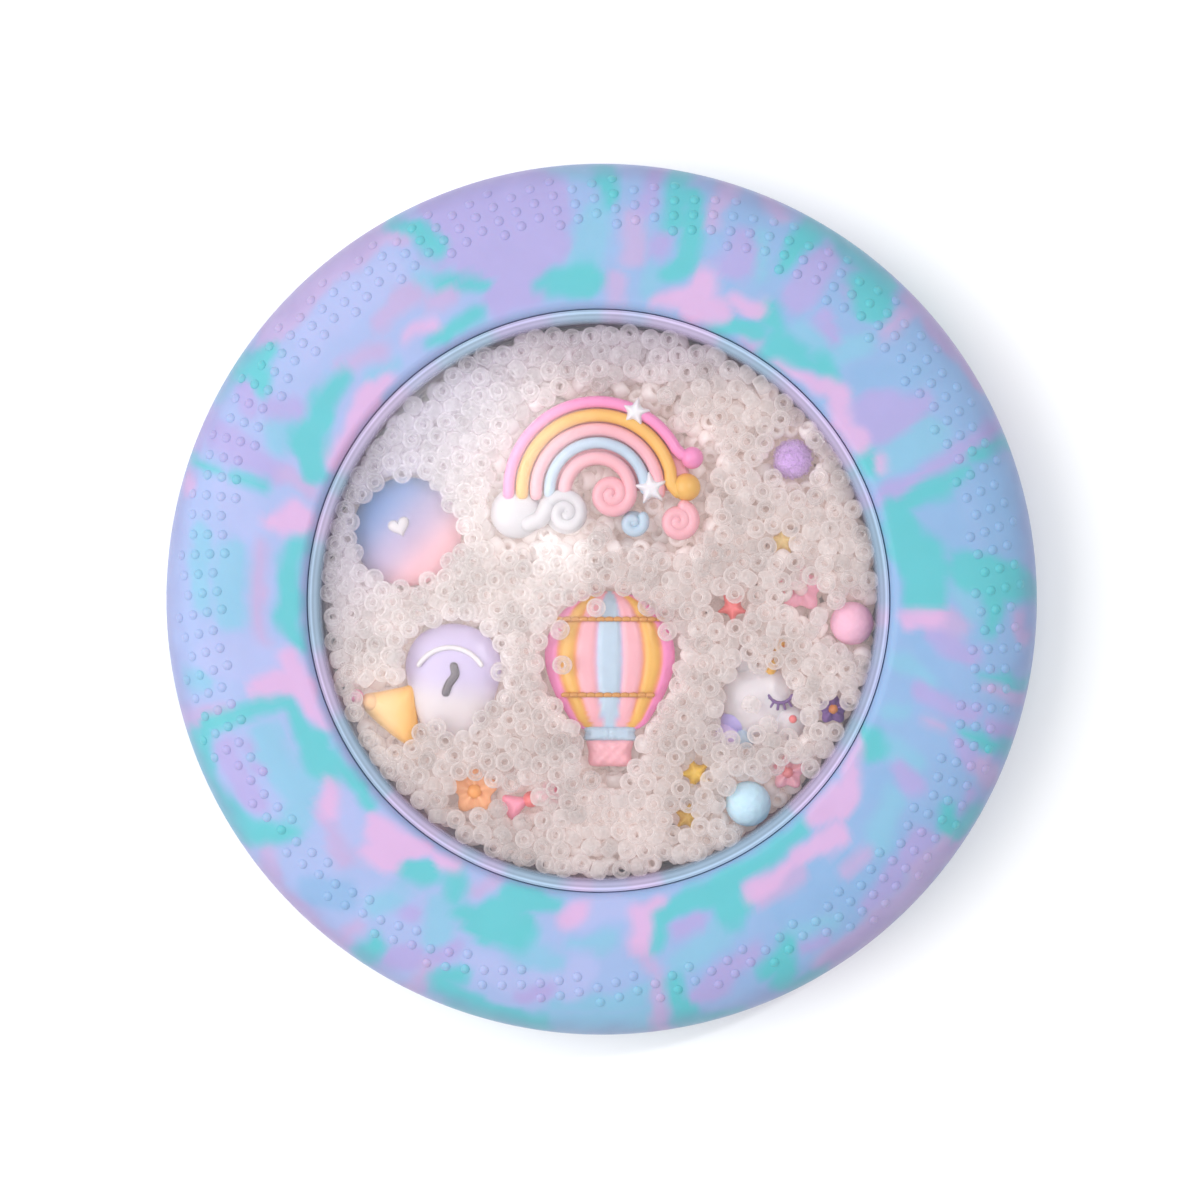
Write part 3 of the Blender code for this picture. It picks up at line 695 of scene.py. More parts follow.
def nub(angle, radius, front):
    """A low round dot that grows out of the ring's face, closed under the surface, and no higher than the
    flat face. Each row of rings is a share of the dot's radius, and of twice its height.
    """
    slope = (face_height(radius + 0.05) - face_height(radius - 0.05)) / 0.1
    normal = np.array([-slope, 1.0]) / math.hypot(slope, 1)
    along = np.array([normal[1], -normal[0]])
    rings = [(0.6, -0.45), (1.0, -0.1), (0.86, 0.1), (0.64, 0.28), (0.4, 0.42), (0.17, 0.485)]
    turns = np.linspace(0, math.tau, 10, endpoint=False)
    centre = np.array([radius, face_height(radius)])
    local = [(centre - normal * 0.55, 0.0)]
    for share, rise in rings:
        for turn in turns:
            spot = centre + along * NUB_RADIUS * share * math.cos(turn) + normal * NUB_HEIGHT * rise / 0.5
            local.append((spot, NUB_RADIUS * share * math.sin(turn)))
    local.append((centre + normal * NUB_HEIGHT, 0.0))
    a = math.radians(angle)
    points = []
    for (reach, rise), side in local:
        x = reach * math.cos(a) - side * math.sin(a)
        y = reach * math.sin(a) + side * math.cos(a)
        lift = min(rise, MIDDLE) if front else -min(rise, MIDDLE)
        points.append((x, y, MIDDLE + lift))
    faces = loft_faces(len(rings), len(turns))
    return points, faces if front else [face[::-1] for face in faces]


def add_ring():
    """The ring with the raised dots on both of its faces."""
    shape = Shape()
    half = ring_profile()
    lower = [(radius, THICKNESS - z) for radius, z in half[-2::-1]]
    points, faces = turned((half + lower)[::-1], RING_STEPS)
    shape.add(points, faces, marbling(points))
    for front in (True, False):
        for angle, radius in nub_spots():
            points, faces = nub(angle, radius, front)
            shape.add(points, faces, marbling([np.mean(points, axis=0)])[0])
    mesh = shape.mesh("silicone_ring_skin")
    add_piece(mesh.name, mesh, silicone_finish(), "root", "marbled_silicone", "silicone_ring")


# --- The clear capsule -------------------------------------------------------------------------------

# The capsule's edge as seen from the front: radius in mm, brightness, and haze. The brightness is painted
# light and shade, the light and dark lines that the clear wall shows, and the haze covers the clear plastic
# with a painted reflection.
EDGE_BANDS = (
    (46.9, 1.1, 0.0), (47.5, 1.1, 0.25), (48.1, 1.06, 0.55), (48.5, 0.82, 0.85), (48.65, 0.86, 0.85),
    (48.85, 1.05, 0.85), (49.05, 1.0, 0.9), (49.2, 0.82, 0.95), (49.35, 0.97, 1.0),
)
# The muted silicone colour that the clear wall shows, a painted reflection
EDGE_TONE = (192, 186, 214)


def shell_profile(front):
    """Section of half the capsule, from its outer face to its inner face: window, wall with rounded corners,
    and the flange in the ring's groove. Each row is radius, height, brightness and haze. The brightness is
    painted light and shade, and the wall is painted in shade.
    """
    hole = 0.02  # the window's pinhole on the axis, too small to see
    outer = OPENING_RADIUS - 0.06
    joint = MIDDLE + 0.15
    flange = joint + FLANGE_THICKNESS
    inner_tongue, outer_tongue = (51.5, 52.5) if front else (51.2, 52.8)
    tongue_end = joint - 0.8 if front else joint + 1.1
    section = [(radius, WINDOW_FACE, 1, 0) for radius in (hole, 20, 40)]
    section += [(radius, WINDOW_FACE, shade, haze) for radius, shade, haze in EDGE_BANDS]
    wall = [(outer - 0.1, WINDOW_FACE - 0.12), (outer, WINDOW_FACE - 0.5), (outer, flange)]
    wall += [(FLANGE_RADIUS, flange), (FLANGE_RADIUS, joint), (outer_tongue, joint)]
    wall += [(outer_tongue, tongue_end), (inner_tongue, tongue_end), (inner_tongue, joint)]
    wall += [(CHAMBER_RADIUS, joint)]
    section += [(radius, z, 0.85, 1) for radius, z in wall]
    fillet = ((0, 1.2, 0.95, 0.6), (0.15, 0.6, 1, 0.3), (0.5, 0.15, 1, 0), (1.1, 0, 1, 0))
    for inset, drop, shade, haze in fillet:
        section.append((CHAMBER_RADIUS - inset, CHAMBER_TOP - drop, shade, haze))
    section.append((hole, CHAMBER_TOP, 1, 0))
    return section if front else [(radius, THICKNESS - z, *look) for radius, z, *look in section[::-1]]


def painted_edge_reflection(points, shade):
    """The capsule's edge is painted with a little of the colour of the silicone beside it, a painted
    reflection, times the painted brightness of its band.
    """
    outwards = 52 / np.hypot(points[:, 0], points[:, 1])
    beside = points * np.column_stack([outwards, outwards, np.ones(len(points))])
    return mixed(EDGE_TONE, marbling(beside), np.full(len(points), 0.28)) * shade[:, None]


def add_capsule():
    """The two halves of the clear capsule, which meet at a flange in the ring's groove."""
    plastic = clear_finish("clear_window", (0.985, 0.985, 0.99), 0.09)
    for name, front in (("front_window", True), ("back_window", False)):
        shape = Shape()
        section = np.array(shell_profile(front))
        points, faces = turned(section[:, :2], WINDOW_STEPS)
        shade, haze = np.tile(section[:, 2:].T, WINDOW_STEPS)
        # The edge is painted with the reflected silicone colour and with painted light and dark lines
        shape.add(points, [face[::-1] for face in faces], painted_edge_reflection(points, shade), haze)
        mesh = shape.mesh(name)
        mesh.set_sharp_from_angle(angle=math.radians(40))
        add_piece(name, mesh, plastic, "root", "clear_window", "front_shell" if front else "back_shell")


# --- Charms ------------------------------------------------------------------------------------------

# Their places and outlines are in mm in the ring's frame, and their depths come from the CAD model


def depth_of(node):
    """The lowest and highest z of a CAD node, in mm."""
    low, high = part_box(node)
    return low.z / MM, high.z / MM


def middle_of(node):
    """The middle of a CAD node's box, in mm."""
    low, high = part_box(node)
    return (low + high) / 2 / MM


def add_charm(shape, node, body, finish, slot):
    """The shape as a piece that stands for a CAD charm."""
    add_piece(body + "_piece", shape.mesh(body + "_piece"), finish, body, slot, node)


RAINBOW_CENTRE = (-0.2, 18.8)


def add_rainbow(resin):
    """Five arched cords on a base, with curled ends, two clouds and two stars."""
    low, high = depth_of("rainbow_charm")
    top = high - 1.0
    shape = Shape()
    arched_plate(shape, RAINBOW_CENTRE, 4.7, 15.4, low, top - 0.6, BLUSH)
    add_arches(shape, low, top)
    add_clouds(shape, low, high, top)
    puff(shape, star_outline(2.6, 12), (6.3, 32.2), top - 1.2, high + 0.5, STAR_WHITE)
    puff(shape, star_outline(2.9, -8), (9.0, 19.2), top - 1.2, high + 0.5, STAR_WHITE)
    add_charm(shape, "rainbow_charm", "rainbow", resin, "rainbow_resin")


def add_arches(shape, low, top):
    """The cords from the outermost in, each with its curl or its knob, and a plate under each curl."""
    centre = RAINBOW_CENTRE
    outer = [arc_path(centre, 15.2, 182, 66, top), arc_path(centre, 15.2, 52, 28, top, 12)]
    outer.append(curve_path([(14.2, 25.0), (16.1, 24.4)], top, 4))
    tube(shape, np.vstack(outer), 1.0, HOT_PINK)
    ball(shape, (16.0, 24.4, top - 0.2), 1.9, HOT_PINK)
    second = [arc_path(centre, 12.9, 182, 16, top), curve_path([(12.4, 20.0), (13.6, 18.6)], top, 5)]
    tube(shape, np.vstack(second), 1.12, YELLOW)
    ball(shape, (15.0, 19.4, top - 0.6), 2.4, YELLOW)
    tube(shape, arc_path(centre, 10.5, 183, -2, top), 1.1, BLUSH)
    tube(shape, arc_path(centre, 8.2, 183, 2, top), 1.0, PALE_BLUE)
    inner = [arc_path(centre, 5.6, 178, 10, top), arc_path((2.3, 18.2), (3.2, 0.5), 10, -560, top, 70)]
    tube(shape, np.vstack(inner), 1.15, BLUSH)
    tube(shape, arc_path((13.7, 13.6), (2.7, 0.4), 70, -560, top, 60), 1.15, BLUSH)
    puff(shape, round_outline(2.6), (13.7, 13.6), low, top, BLUSH)
    tube(shape, arc_path((5.9, 13.3), (2.0, 0.3), 30, -330, top, 36), 0.95, PALE_BLUE)
    puff(shape, round_outline(2.1), (5.9, 13.3), low, top, PALE_BLUE)
    puff(shape, round_outline(2.6), (2.3, 18.2), low, top - 0.2, BLUSH)


def add_clouds(shape, low, high, top):
    """A smooth cloud and a curled one at the left feet of the cords."""
    puff(shape, round_outline(4.4), (-14.2, 15.0), low, high - 0.1, CLOUD, crown=2.2)
    puff(shape, round_outline(3.6), (-5.6, 15.0), low, high - 0.8, CLOUD, crown=2.2)
    tube(shape, arc_path((-5.6, 15.0), (3.3, 0.4), 150, -420, top + 0.1, 60), 1.1, CLOUD)
    tube(shape, curve_path([(-12.0, 13.2), (-9.8, 14.2), (-8.6, 16.6)], top - 0.2, 8), 1.5, CLOUD)


def arched_plate(shape, centre, inner, outer, low, high, tint, steps=48):
    """A half ring of plate under the arches."""
    middle = (low + high) / 2
    section = [(inner, low), (outer, low), (outer + 0.6, middle), (outer, high), (inner, high)]
    section.append((inner - 0.3, middle))
    points = []
    for a in np.radians(np.linspace(0, 180, steps)):
        points += [(centre[0] + r * math.cos(a), centre[1] + r * math.sin(a), z) for r, z in section]
    count = len(section)
    faces = [tuple(range(count)), tuple((steps - 1) * count + i for i in reversed(range(count)))]
    for j in range(steps - 1):
        for i in range(count):
            up = (i + 1) % count
            faces.append((j * count + up, j * count + i, (j + 1) * count + i, (j + 1) * count + up))
    shape.add(points, faces, tint)


BALLOON_X = 1.8
BALLOON_BASE = -22.2
GORE_SEAMS = (0.2, 0.53, 0.79)  # as shares of the balloon's half width at their height
ROPE_GOLD = (214, 150, 80)


def balloon_outline():
    """A round envelope that narrows to its collar."""
    angles = np.radians(np.arange(200, -21, -20))
    corners = [(BALLOON_X + 11.2 * math.cos(a), -9.6 + 11.2 * math.sin(a)) for a in angles]
    corners += [(BALLOON_X + 8.4, -18.0), (BALLOON_X + 4.6, BALLOON_BASE)]
    corners += [(BALLOON_X - 4.6, BALLOON_BASE), (BALLOON_X - 8.4, -18.0)]
    return smooth_outline(corners, 9)


def add_balloon(resin):
    """A striped hot-air balloon with dashed gold ropes, a collar and a basket."""
    low, high = depth_of("balloon_charm")
    outline = balloon_outline()
    centre = np.array([BALLOON_X, -10.5])
    rows = np.linspace(BALLOON_BASE, 1.7, 90)
    reach = np.abs(outline[:, 0] - BALLOON_X)
    halves = np.array([reach[np.argsort(np.abs(outline[:, 1] - y))[:4]].mean() for y in rows])

    def gore(x, y):
        """How far out a point is, as a share of the balloon's half width."""
        return np.abs((x - BALLOON_X) / np.maximum(np.interp(y, rows, halves), 2.2))

    def paint(x, y):
        """Blue in the middle, then blush, yellow and pink, with painted shade along the seam grooves: an
        orange line at each outer seam and a faint lavender line at the innermost.
        """
        u = gore(x, y)
        # Painted shade along the seam grooves
        lines = [np.exp(-(((u - seam) / 0.028) ** 2)) for seam in GORE_SEAMS[1:]]
        colour = mixed(PALE_BLUE, BLUSH, smooth(0.17, 0.21, u))
        colour = mixed(colour, LAVENDER, 0.35 * np.exp(-(((u - GORE_SEAMS[0]) / 0.03) ** 2)))
        colour = mixed(colour, YELLOW, smooth(0.50, 0.54, u) * (1 - smooth(0.76, 0.80, u)))
        colour = mixed(colour, HOT_PINK, smooth(0.78, 0.82, u))
        return mixed(colour, ORANGE, 0.9 * sum(lines))

    def ridges(x, y):
        """A groove at each seam."""
        nearest = np.abs(gore(x, y)[:, None] - GORE_SEAMS).min(1)
        return 0.35 * smooth(0, 0.09, nearest) - 0.35

    shape = Shape()
    puff(shape, outline - centre, centre, low, high, paint, rings=34, crown=2.4, relief=ridges)
    add_ropes(shape, high)
    add_collar_and_basket(shape, low, high)
    add_charm(shape, "balloon_charm", "balloon", resin, "balloon_resin")


def add_ropes(shape, high):
    """Two rows of gold dashes across the balloon."""
    for y, reach in ((-3.2, 9.6), (-16.2, 8.4)):
        for offset in np.arange(-reach + 0.9, reach, 1.45):
            x = BALLOON_X + offset
            z = high - 0.1 - 1.3 * (offset / 11) ** 4
            tube(shape, [(x - 0.4, y, z), (x, y + 0.08, z), (x + 0.4, y, z)], 0.42, ROPE_GOLD, 8)


def add_collar_and_basket(shape, low, high):
    """A pleated collar, and a woven basket under it."""
    collar = [(-4.3, -1.2), (-4.3, 0), (-4.2, 1.2), (0, 1.35), (4.2, 1.2), (4.3, 0), (4.3, -1.2), (0, -1.3)]
    basket = [(-3.4, -2.3), (-3.7, 0), (-3.8, 2.3), (0, 2.4), (3.8, 2.3), (3.7, 0), (3.4, -2.3), (0, -2.5)]
    middle = (BALLOON_X, -26.1)

    def pleats(x, y):
        return 0.12 * np.cos(x * 5.2)

    def weave(x, y):
        return 0.14 * np.cos((x - middle[0]) * 3.2) * np.cos((y - middle[1]) * 3.0)

    puff(shape, smooth_outline(collar), (BALLOON_X, -22.9), low, high - 0.7, PALE_BLUE, 10, relief=pleats)
    puff(shape, smooth_outline(basket), middle, low, high - 0.9, BLUSH, 12, relief=weave)


def add_bird(resin):
    """A round bird with a soft brow line, a bean-shaped eye, a pale breast and a yellow wing."""
    low, high = depth_of("bird_charm")

    def body_paint(x, y):
        return mixed((211, 199, 201), (192, 176, 208), smooth(-18.5, -12.0, y + 0.12 * (x + 25)))

    def wing_paint(x, y):
        return mixed((247, 180, 84), (249, 200, 132), smooth(-30, -37, x))

    body = [(0, 9.2), (5.6, 7.4), (8.3, 2.8), (7.6, -2.2), (6.2, -6.0), (4.4, -9.4), (0, -10.6)]
    body += [(-4.4, -9.6), (-6.4, -6.2), (-7.6, -2.2), (-8.2, 2.8), (-5.6, 7.4)]
    wing = [(3.0, 4.2), (3.4, 0.6), (3.6, -3.4), (2.4, -6.0), (-0.4, -4.6)]
    wing += [(-4.2, -1.4), (-5.8, 0.6), (-5.6, 2.6), (-3.2, 3.2), (0.4, 3.9)]
    eye = curve_path([(-24.9, -11.3), (-24.7, -12.8), (-25.8, -14.4), (-26.3, -15.8)], high + 0.1, 8)
    shape = Shape()
    puff(shape, smooth_outline(body, 8), (-25.2, -13.2), low, high, body_paint, rings=20, crown=2.2)
    tube(shape, arc_path((-25.6, -14.4), 6.3, 32, 148, high - 0.2), 0.45, WHITE, flatten=0.8)
    tube(shape, eye, 0.72, DARK, flatten=0.55)
    puff(shape, smooth_outline(wing, 8), (-35.0, -19.0), low, high - 0.2, wing_paint, rings=18, crown=2.6)
    puff(shape, round_outline(1.5), (-39.4, -17.6), low + 0.6, high - 0.1, (249, 196, 140))
    puff(shape, round_outline(1.2), (-42.0, -16.6), low + 0.8, high - 0.8, HOT_PINK)
    add_charm(shape, "bird_charm", "bird", resin, "white_resin")


def add_unicorn(resin):
    """A unicorn's head with closed lashes, a blushing cheek, a pastel mane and a ribbed horn."""
    low, high = depth_of("unicorn_charm")
    muzzle = [(3.1, 0.6), (1.6, 2.9), (-1.6, 3.0), (-3.1, 0), (-1.4, -2.9), (1.8, -2.8)]
    ear = [(-1.6, -1.8), (1.5, -1.6), (0.6, 1.0), (-1.0, 2.7)]
    locks = ((23.6, -20.4, 3.0, LAVENDER), (22.0, -23.2, 2.6, ORCHID), (24.6, -24.0, 2.1, PALE_BLUE))
    shape = Shape()
    puff(shape, round_outline(6.2, 64), (27.2, -17.0), low, high, WHITE, rings=16, crown=2.2)
    puff(shape, smooth_outline(muzzle), (32.4, -21.0), low, high - 0.3, WHITE, rings=12, crown=2.2)
    for x, y, size, tint in locks:
        puff(shape, petal_outline(size, 3, 0.2), (x, y), low, high - 1.0, tint, crown=2.2)
    puff(shape, smooth_outline(ear), (25.2, -10.6), low, high - 0.9, WHITE)
    tube(shape, curve_path([(29.4, -12.0), (30.4, -9.6), (31.2, -7.4)], high - 1.5, 8), 0.95, YELLOW)
    for step in range(4):
        left = (28.7 + 0.55 * step, -11.2 + 1.2 * step, high - 0.8)
        right = (30.3 + 0.5 * step, -11.5 + 1.2 * step, high - 0.8)
        tube(shape, [left, right], 0.22, ORANGE, 8)
    add_lashes(shape, high - 0.3)
    ball(shape, (33.2, -20.4, high - 0.7), 0.75, CORAL, steps=12)
    add_charm(shape, "unicorn_charm", "unicorn", resin, "white_resin")


def add_lashes(shape, z):
    """A closed eyelid as a curve, with six lashes under it."""
    x, y = 31.1, -15.4
    tube(shape, arc_path((x, y), 2.2, 205, 335, z, 16), 0.3, PLUM, 8)
    for a in np.radians((215, 240, 262, 284, 305, 325)):
        start = (x + 2.1 * math.cos(a), y + 2.1 * math.sin(a), z)
        tip = (x + 3.3 * math.cos(a), y + 3.3 * math.sin(a), z - 0.05)
        tube(shape, [start, tip], 0.24, PLUM, 8)


def add_pastel_dome(resin):
    """A smooth puff, graded from blue through lavender to pink, with a little white heart."""
    low, high = depth_of("pastel_dome")
    x0, y0, _ = middle_of("pastel_dome")
    radius = 9.4

    def paint(x, y):
        share = ((x - x0) * 0.72 - (y - y0) * 0.70) / radius
        colour = mixed((86, 128, 190), (172, 152, 188), smooth(-0.85, 0.1, share))
        return mixed(colour, (244, 182, 192), smooth(-0.05, 0.75, share))

    shape = Shape()
    puff(shape, round_outline(radius, 96), (x0, y0), low, high - 0.9, paint, rings=24, crown=2.0)
    puff(shape, heart_outline(1.9, 20), (x0 - 1.0, y0 + 0.9), high - 2.0, high - 0.1, WHITE, rings=8)
    add_charm(shape, "pastel_dome", "pastel_dome", resin, "pastel_resin")


def add_balls():
    """Two foam balls that are almost smooth."""
    foam = foam_finish()
    balls = (("pink_ball", "pink_foam", (241, 184, 206)), ("blue_ball", "blue_foam", (194, 224, 238)))
    for node, slot, tint in balls:
        low, high = depth_of(node)
        shape = Shape()
        ball(shape, middle_of(node), (high - low) / 2 - 0.02, tint, 0.012, 1.2, 5, 40)
        add_charm(shape, node, node, foam, slot)


def add_pompom(felt, fibres=420):
    """A felted ball with loose fibres that stand off it."""
    low, high = depth_of("purple_pompom")
    centre = np.array(middle_of("purple_pompom"))
    radius = (high - low) / 2
    shape = Shape()
    ball(shape, centre, radius - 0.35, (218, 176, 236), 0.04, 0.7, 8, 44)
    rng = np.random.default_rng(17)
    for _ in range(fibres):
        way = rng.normal(size=3)
        way /= np.linalg.norm(way)
        bend = np.cross(way, rng.normal(size=3))
        start = centre + way * (radius - 0.55)
        path = [start, start + way * 0.25 + bend * 0.16, start + way * 0.4 + bend * 0.5]
        if np.ptp(np.asarray(path)[:, :2], axis=0).max() > 0.05:
            tube(shape, path, 0.045, (228, 190, 242), 4)
    add_charm(shape, "purple_pompom", "purple_pompom", felt, "purple_felt")


def add_flowers(resin):
    """Flowers of five petals, each with a button in its middle."""
    flowers = (
        ("orange_flower", 4.2, (255, 186, 138), (250, 168, 96), "orange_resin"),
        ("purple_flower", 2.8, (140, 106, 172), (250, 160, 96), "purple_resin"),
        ("pink_flower", 4.2, (255, 190, 208), (255, 226, 226), "pink_resin"),
        ("rose_flower", 3.2, (255, 186, 196), (250, 150, 150), "pink_resin"),
    )
    for node, radius, tint, heart, slot in flowers:
        low, high = depth_of(node)
        middle = middle_of(node)[:2]

        def creases(x, y, middle=middle):
            return 0.25 * np.cos(5 * np.arctan2(x - middle[0], y - middle[1])) - 0.25

        shape = Shape()
        puff(shape, petal_outline(radius), middle, low, high - 0.4, tint, 14, 2.4, creases)
        puff(shape, round_outline(radius * 0.3, 24), middle, high - 1.2, high, heart, 8, 2.2)
        add_charm(shape, node, node, resin, slot)


def add_stars(resin):
    stars = (
        ("yellow_star", 2.8, 20, (240, 196, 80), "yellow_resin"),
        ("gold_star", 2.5, -10, (226, 186, 96), "yellow_resin"),
        ("pink_star", 2.7, 35, CORAL, "pink_resin"),
        ("cream_star", 2.5, 0, (255, 228, 166), "yellow_resin"),
    )
    for node, radius, turn, tint, slot in stars:
        low, high = depth_of(node)
        shape = Shape()
        puff(shape, star_outline(radius, -turn), middle_of(node)[:2], low, high, tint, 10, 2.4)
        add_charm(shape, node, node, resin, slot)


def add_bow(resin, turn=20):
    """Two loops and a knot."""
    low, high = depth_of("pink_bow")
    x, y, _ = middle_of("pink_bow")
    shape = Shape()
    for side in (-1, 1):
        loop = [(-2.3, 0.2), (-0.4, 1.3), (1.7, 2.2), (2.3, 0), (1.7, -2.2), (-0.4, -1.3)]
        loop = np.array(loop[::side]) * (side, 1) @ turn_matrix(turn)
        spot = np.array([(2.6 * side, 0)]) @ turn_matrix(turn) + (x, y)
        puff(shape, smooth_outline(loop), spot[0], low + 0.3, high - 0.3, (250, 160, 182), 10, 2.2)
    puff(shape, round_outline(1.4, 24), (x, y), low, high, CORAL, 8, 2.2)
    add_charm(shape, "pink_bow", "pink_bow", resin, "pink_resin")


# --- Beads -------------------------------------------------------------------------------------------

# Sizes in mm
BEAD_RADIUS = 1.65
BEAD_HOLE = 0.62
BEAD_LENGTH = 2.4
BEAD_SPACING = 3.2  # between centres, where beads start to push each other away
BEAD_PITCH = 3.32  # of the loose start that the packing begins from
CHARM_GAP = (1.95, 2.4)  # from a bead's centre to a charm's surface: the least and the most
CHARM_KEEP = 1.85  # a bead closer to a charm than this is left out
GLASSY_HEIGHT = 15.6  # beads above this are see-through
COVER_HEIGHT = 14.9  # beads above this can hide a charm
LONG_CHARMS = ("rainbow_charm", "balloon_charm", "bird_charm", "unicorn_charm")
TURN_STEPS = (3, 12)  # degrees between the places of a long charm, and of any other, as it turns

# Where a charm shows between the beads: x, y and radius
OPEN_PATCHES = (
    (1.8, -23.0, 4.6), (1.8, -26.5, 4.2), (-25.2, -12.4, 8.2), (-24.6, -18.0, 4.2), (-35.4, -19.0, 5.2),
    (-39.4, -17.4, 2.0), (26.4, -15.6, 5.4), (24.2, -20.6, 2.4), (31.2, -16.8, 2.8), (33.4, -20.8, 2.2),
    (40.0, -19.2, 2.2), (-22.0, -34.0, 2.6), (-13.6, -34.6, 3.0), (22.9, -1.4, 1.9), (16.8, -29.4, 1.8),
    (15.2, -37.6, 1.4), (35.2, 0.8, 3.0), (33.0, -29.6, 2.2), (31.4, 9.9, 1.5), (40.0, -4.0, 2.0),
    (28.6, -33.0, 2.0),
)

# Beads that lie flat against the window over the balloon, the bird, the dome's edge and the unicorn: x, y, z
FLAT_BEADS = (
    (-0.4, -1.2, 18.4), (8.4, -1.0, 18.4), (-6.2, -11.0, 18.4), (-6.6, -5.0, 18.4), (11.8, -5.2, 18.4),
    (-30.4, -22.6, 18.4), (-26.2, -24.0, 18.3), (-20.6, -22.6, 18.4), (-17.9, -18.6, 18.4),
    (-16.9, -12.2, 18.4), (-42.0, 8.2, 17.7), (-38.6, 3.8, 17.9), (-34.0, 2.0, 17.8), (-29.2, 3.4, 17.9),
    (-40.4, 18.2, 17.8), (-25.4, 6.6, 17.8), (20.4, -12.2, 17.6), (19.8, -18.4, 17.8), (29.6, -24.0, 17.6),
)


def swept_charms():
    """The CAD charms as one search tree, each at steps of the turn that its joint allows."""
    corners, faces = [], []
    for joint in frame["joints"]:
        if joint["parent"] == "root":
            continue
        node = frame["nodes"][frame["record"]["behaviour"]["bodies"][joint["child"]][0]]
        low, high = joint.get("range_deg", (-180, 180))
        step = TURN_STEPS[0] if node.name in LONG_CHARMS else TURN_STEPS[1]
        pivot = Vector(joint["pos_m"])
        for angle in np.arange(low, high + 0.1, step):
            rotation = Matrix.Rotation(math.radians(angle), 4, "Z")
            place = Matrix.Translation(pivot) @ rotation @ Matrix.Translation(-pivot)
            start = len(corners)
            corners += [(place @ vertex.co) / MM for vertex in node.data.vertices]
            faces += [[start + i for i in face.vertices] for face in node.data.polygons]
    return BVHTree.FromPolygons(corners, faces)


def loose_beads():
    """The names of the CAD model's loose beads."""
    return [name for name in sorted(frame["nodes"]) if name.startswith("loose_bead")]


def bead_lattice(rng):
    """A loose start for the packing: staggered layers with every bead nudged."""
    reach = CHAMBER_RADIUS - BEAD_RADIUS - 0.1
    spots = []
    for k, z in enumerate(np.linspace(CHAMBER_BOTTOM + 1.9, CHAMBER_TOP - 1.9, 5)):
        for i, y in enumerate(np.arange(-48, 48, BEAD_PITCH * 0.866)):
            for x in np.arange(-48 + (i + k) % 2 * BEAD_PITCH / 2, 48, BEAD_PITCH):
                if math.hypot(x, y) < reach:
                    spots.append((x, y, z))
    spots = np.array(spots)
    return spots + rng.normal(scale=0.45, size=spots.shape)


def pushed_apart(spots):
    """The centres after one step away from their close neighbours."""
    tree = KDTree(len(spots))
    for i, spot in enumerate(spots):
        tree.insert(spot, i)
    tree.balance()
    push = np.zeros_like(spots)
    for i, spot in enumerate(spots):
        for other, j, distance in tree.find_range(spot, BEAD_SPACING):
            if j != i:
                push[i] += (spot - np.array(other)) / max(distance, 0.3) * (BEAD_SPACING - distance) * 0.42
    return spots + np.clip(push, -0.8, 0.8)


def nearest_charm(spot, charms):
    """The nearest point on a charm, its normal, how far it is, and whether the spot is inside the charm."""
    found, normal, _, distance = charms.find_nearest(spot, 4.0)
    if found is None:
        return None, None, math.inf, False
    return found, normal, distance, (Vector(spot) - found).dot(normal) < 0


def packed_spots(rng, charms):
    """Bead centres that keep clear of each other, of the charms as they turn, and of the capsule. The first
    ones are the CAD model's loose beads and the flat ones, which stay put.
    """
    fixed = np.vstack([[middle_of(name) for name in loose_beads()], FLAT_BEADS])
    spots = np.vstack([fixed, bead_lattice(rng)])
    gap = rng.uniform(*CHARM_GAP, len(spots))
    movable = range(len(fixed), len(spots))
    rounds = 26
    for _ in range(rounds):
        spots = pushed_apart(spots)
        for i in movable:
            found, normal, distance, inside = nearest_charm(spots[i], charms)
            if inside or distance < gap[i] - 0.05:
                spots[i] = found + normal * gap[i]
        spots[: len(fixed)] = fixed
        contain(spots)
    kept = np.ones(len(spots), bool)
    for i in movable:
        _, _, distance, inside = nearest_charm(spots[i], charms)
        kept[i] = not inside and distance > CHARM_KEEP and not hides_charm(spots[i])
    return spots[kept]


def hides_charm(spot):
    """Whether a bead here would hide a charm that shows."""
    near = [math.hypot(spot[0] - x, spot[1] - y) < radius + 0.6 for x, y, radius in OPEN_PATCHES]
    return spot[2] > COVER_HEIGHT and any(near)


def contain(spots):
    """Holds the centres inside the chamber."""
    reach = np.hypot(spots[:, 0], spots[:, 1])
    most = CHAMBER_RADIUS - BEAD_RADIUS - 0.12
    over = reach > most
    spots[over, :2] *= (most / reach[over])[:, None]
    spots[:, 2] = np.clip(spots[:, 2], CHAMBER_BOTTOM + 1.6, CHAMBER_TOP - 1.6)


def bead_turns(rng, spots):
    """A random lean for each bead, as rotation matrices. A bead against a window lies flat on it."""
    axes = rng.normal(size=(len(spots), 3))
    axes[:, 2] += rng.choice((-1, 1), len(spots)) * 0.7
    near = np.minimum(CHAMBER_TOP - spots[:, 2], spots[:, 2] - CHAMBER_BOTTOM) < 2.0
    axes[near, :2] *= 0.15
    axes /= np.linalg.norm(axes, axis=1)[:, None]
    side = np.cross(axes, rng.normal(size=axes.shape))
    side /= np.linalg.norm(side, axis=1)[:, None]
    return np.stack([side, np.cross(axes, side), axes], axis=2)


def bead_form():
    """One bead: a short tube with rounded ends, as points and faces."""
    half = BEAD_LENGTH / 2
    section = [(BEAD_HOLE, -half + 0.35), (BEAD_HOLE + 0.16, -half + 0.06), (BEAD_HOLE + 0.45, -half)]
    section += [(BEAD_RADIUS - 0.42, -half + 0.05), (BEAD_RADIUS - 0.1, -half + 0.32)]
    section += [(BEAD_RADIUS, -half + 0.8)]
    section += [(radius, -z) for radius, z in section[::-1]]
    return turned(section, 14)


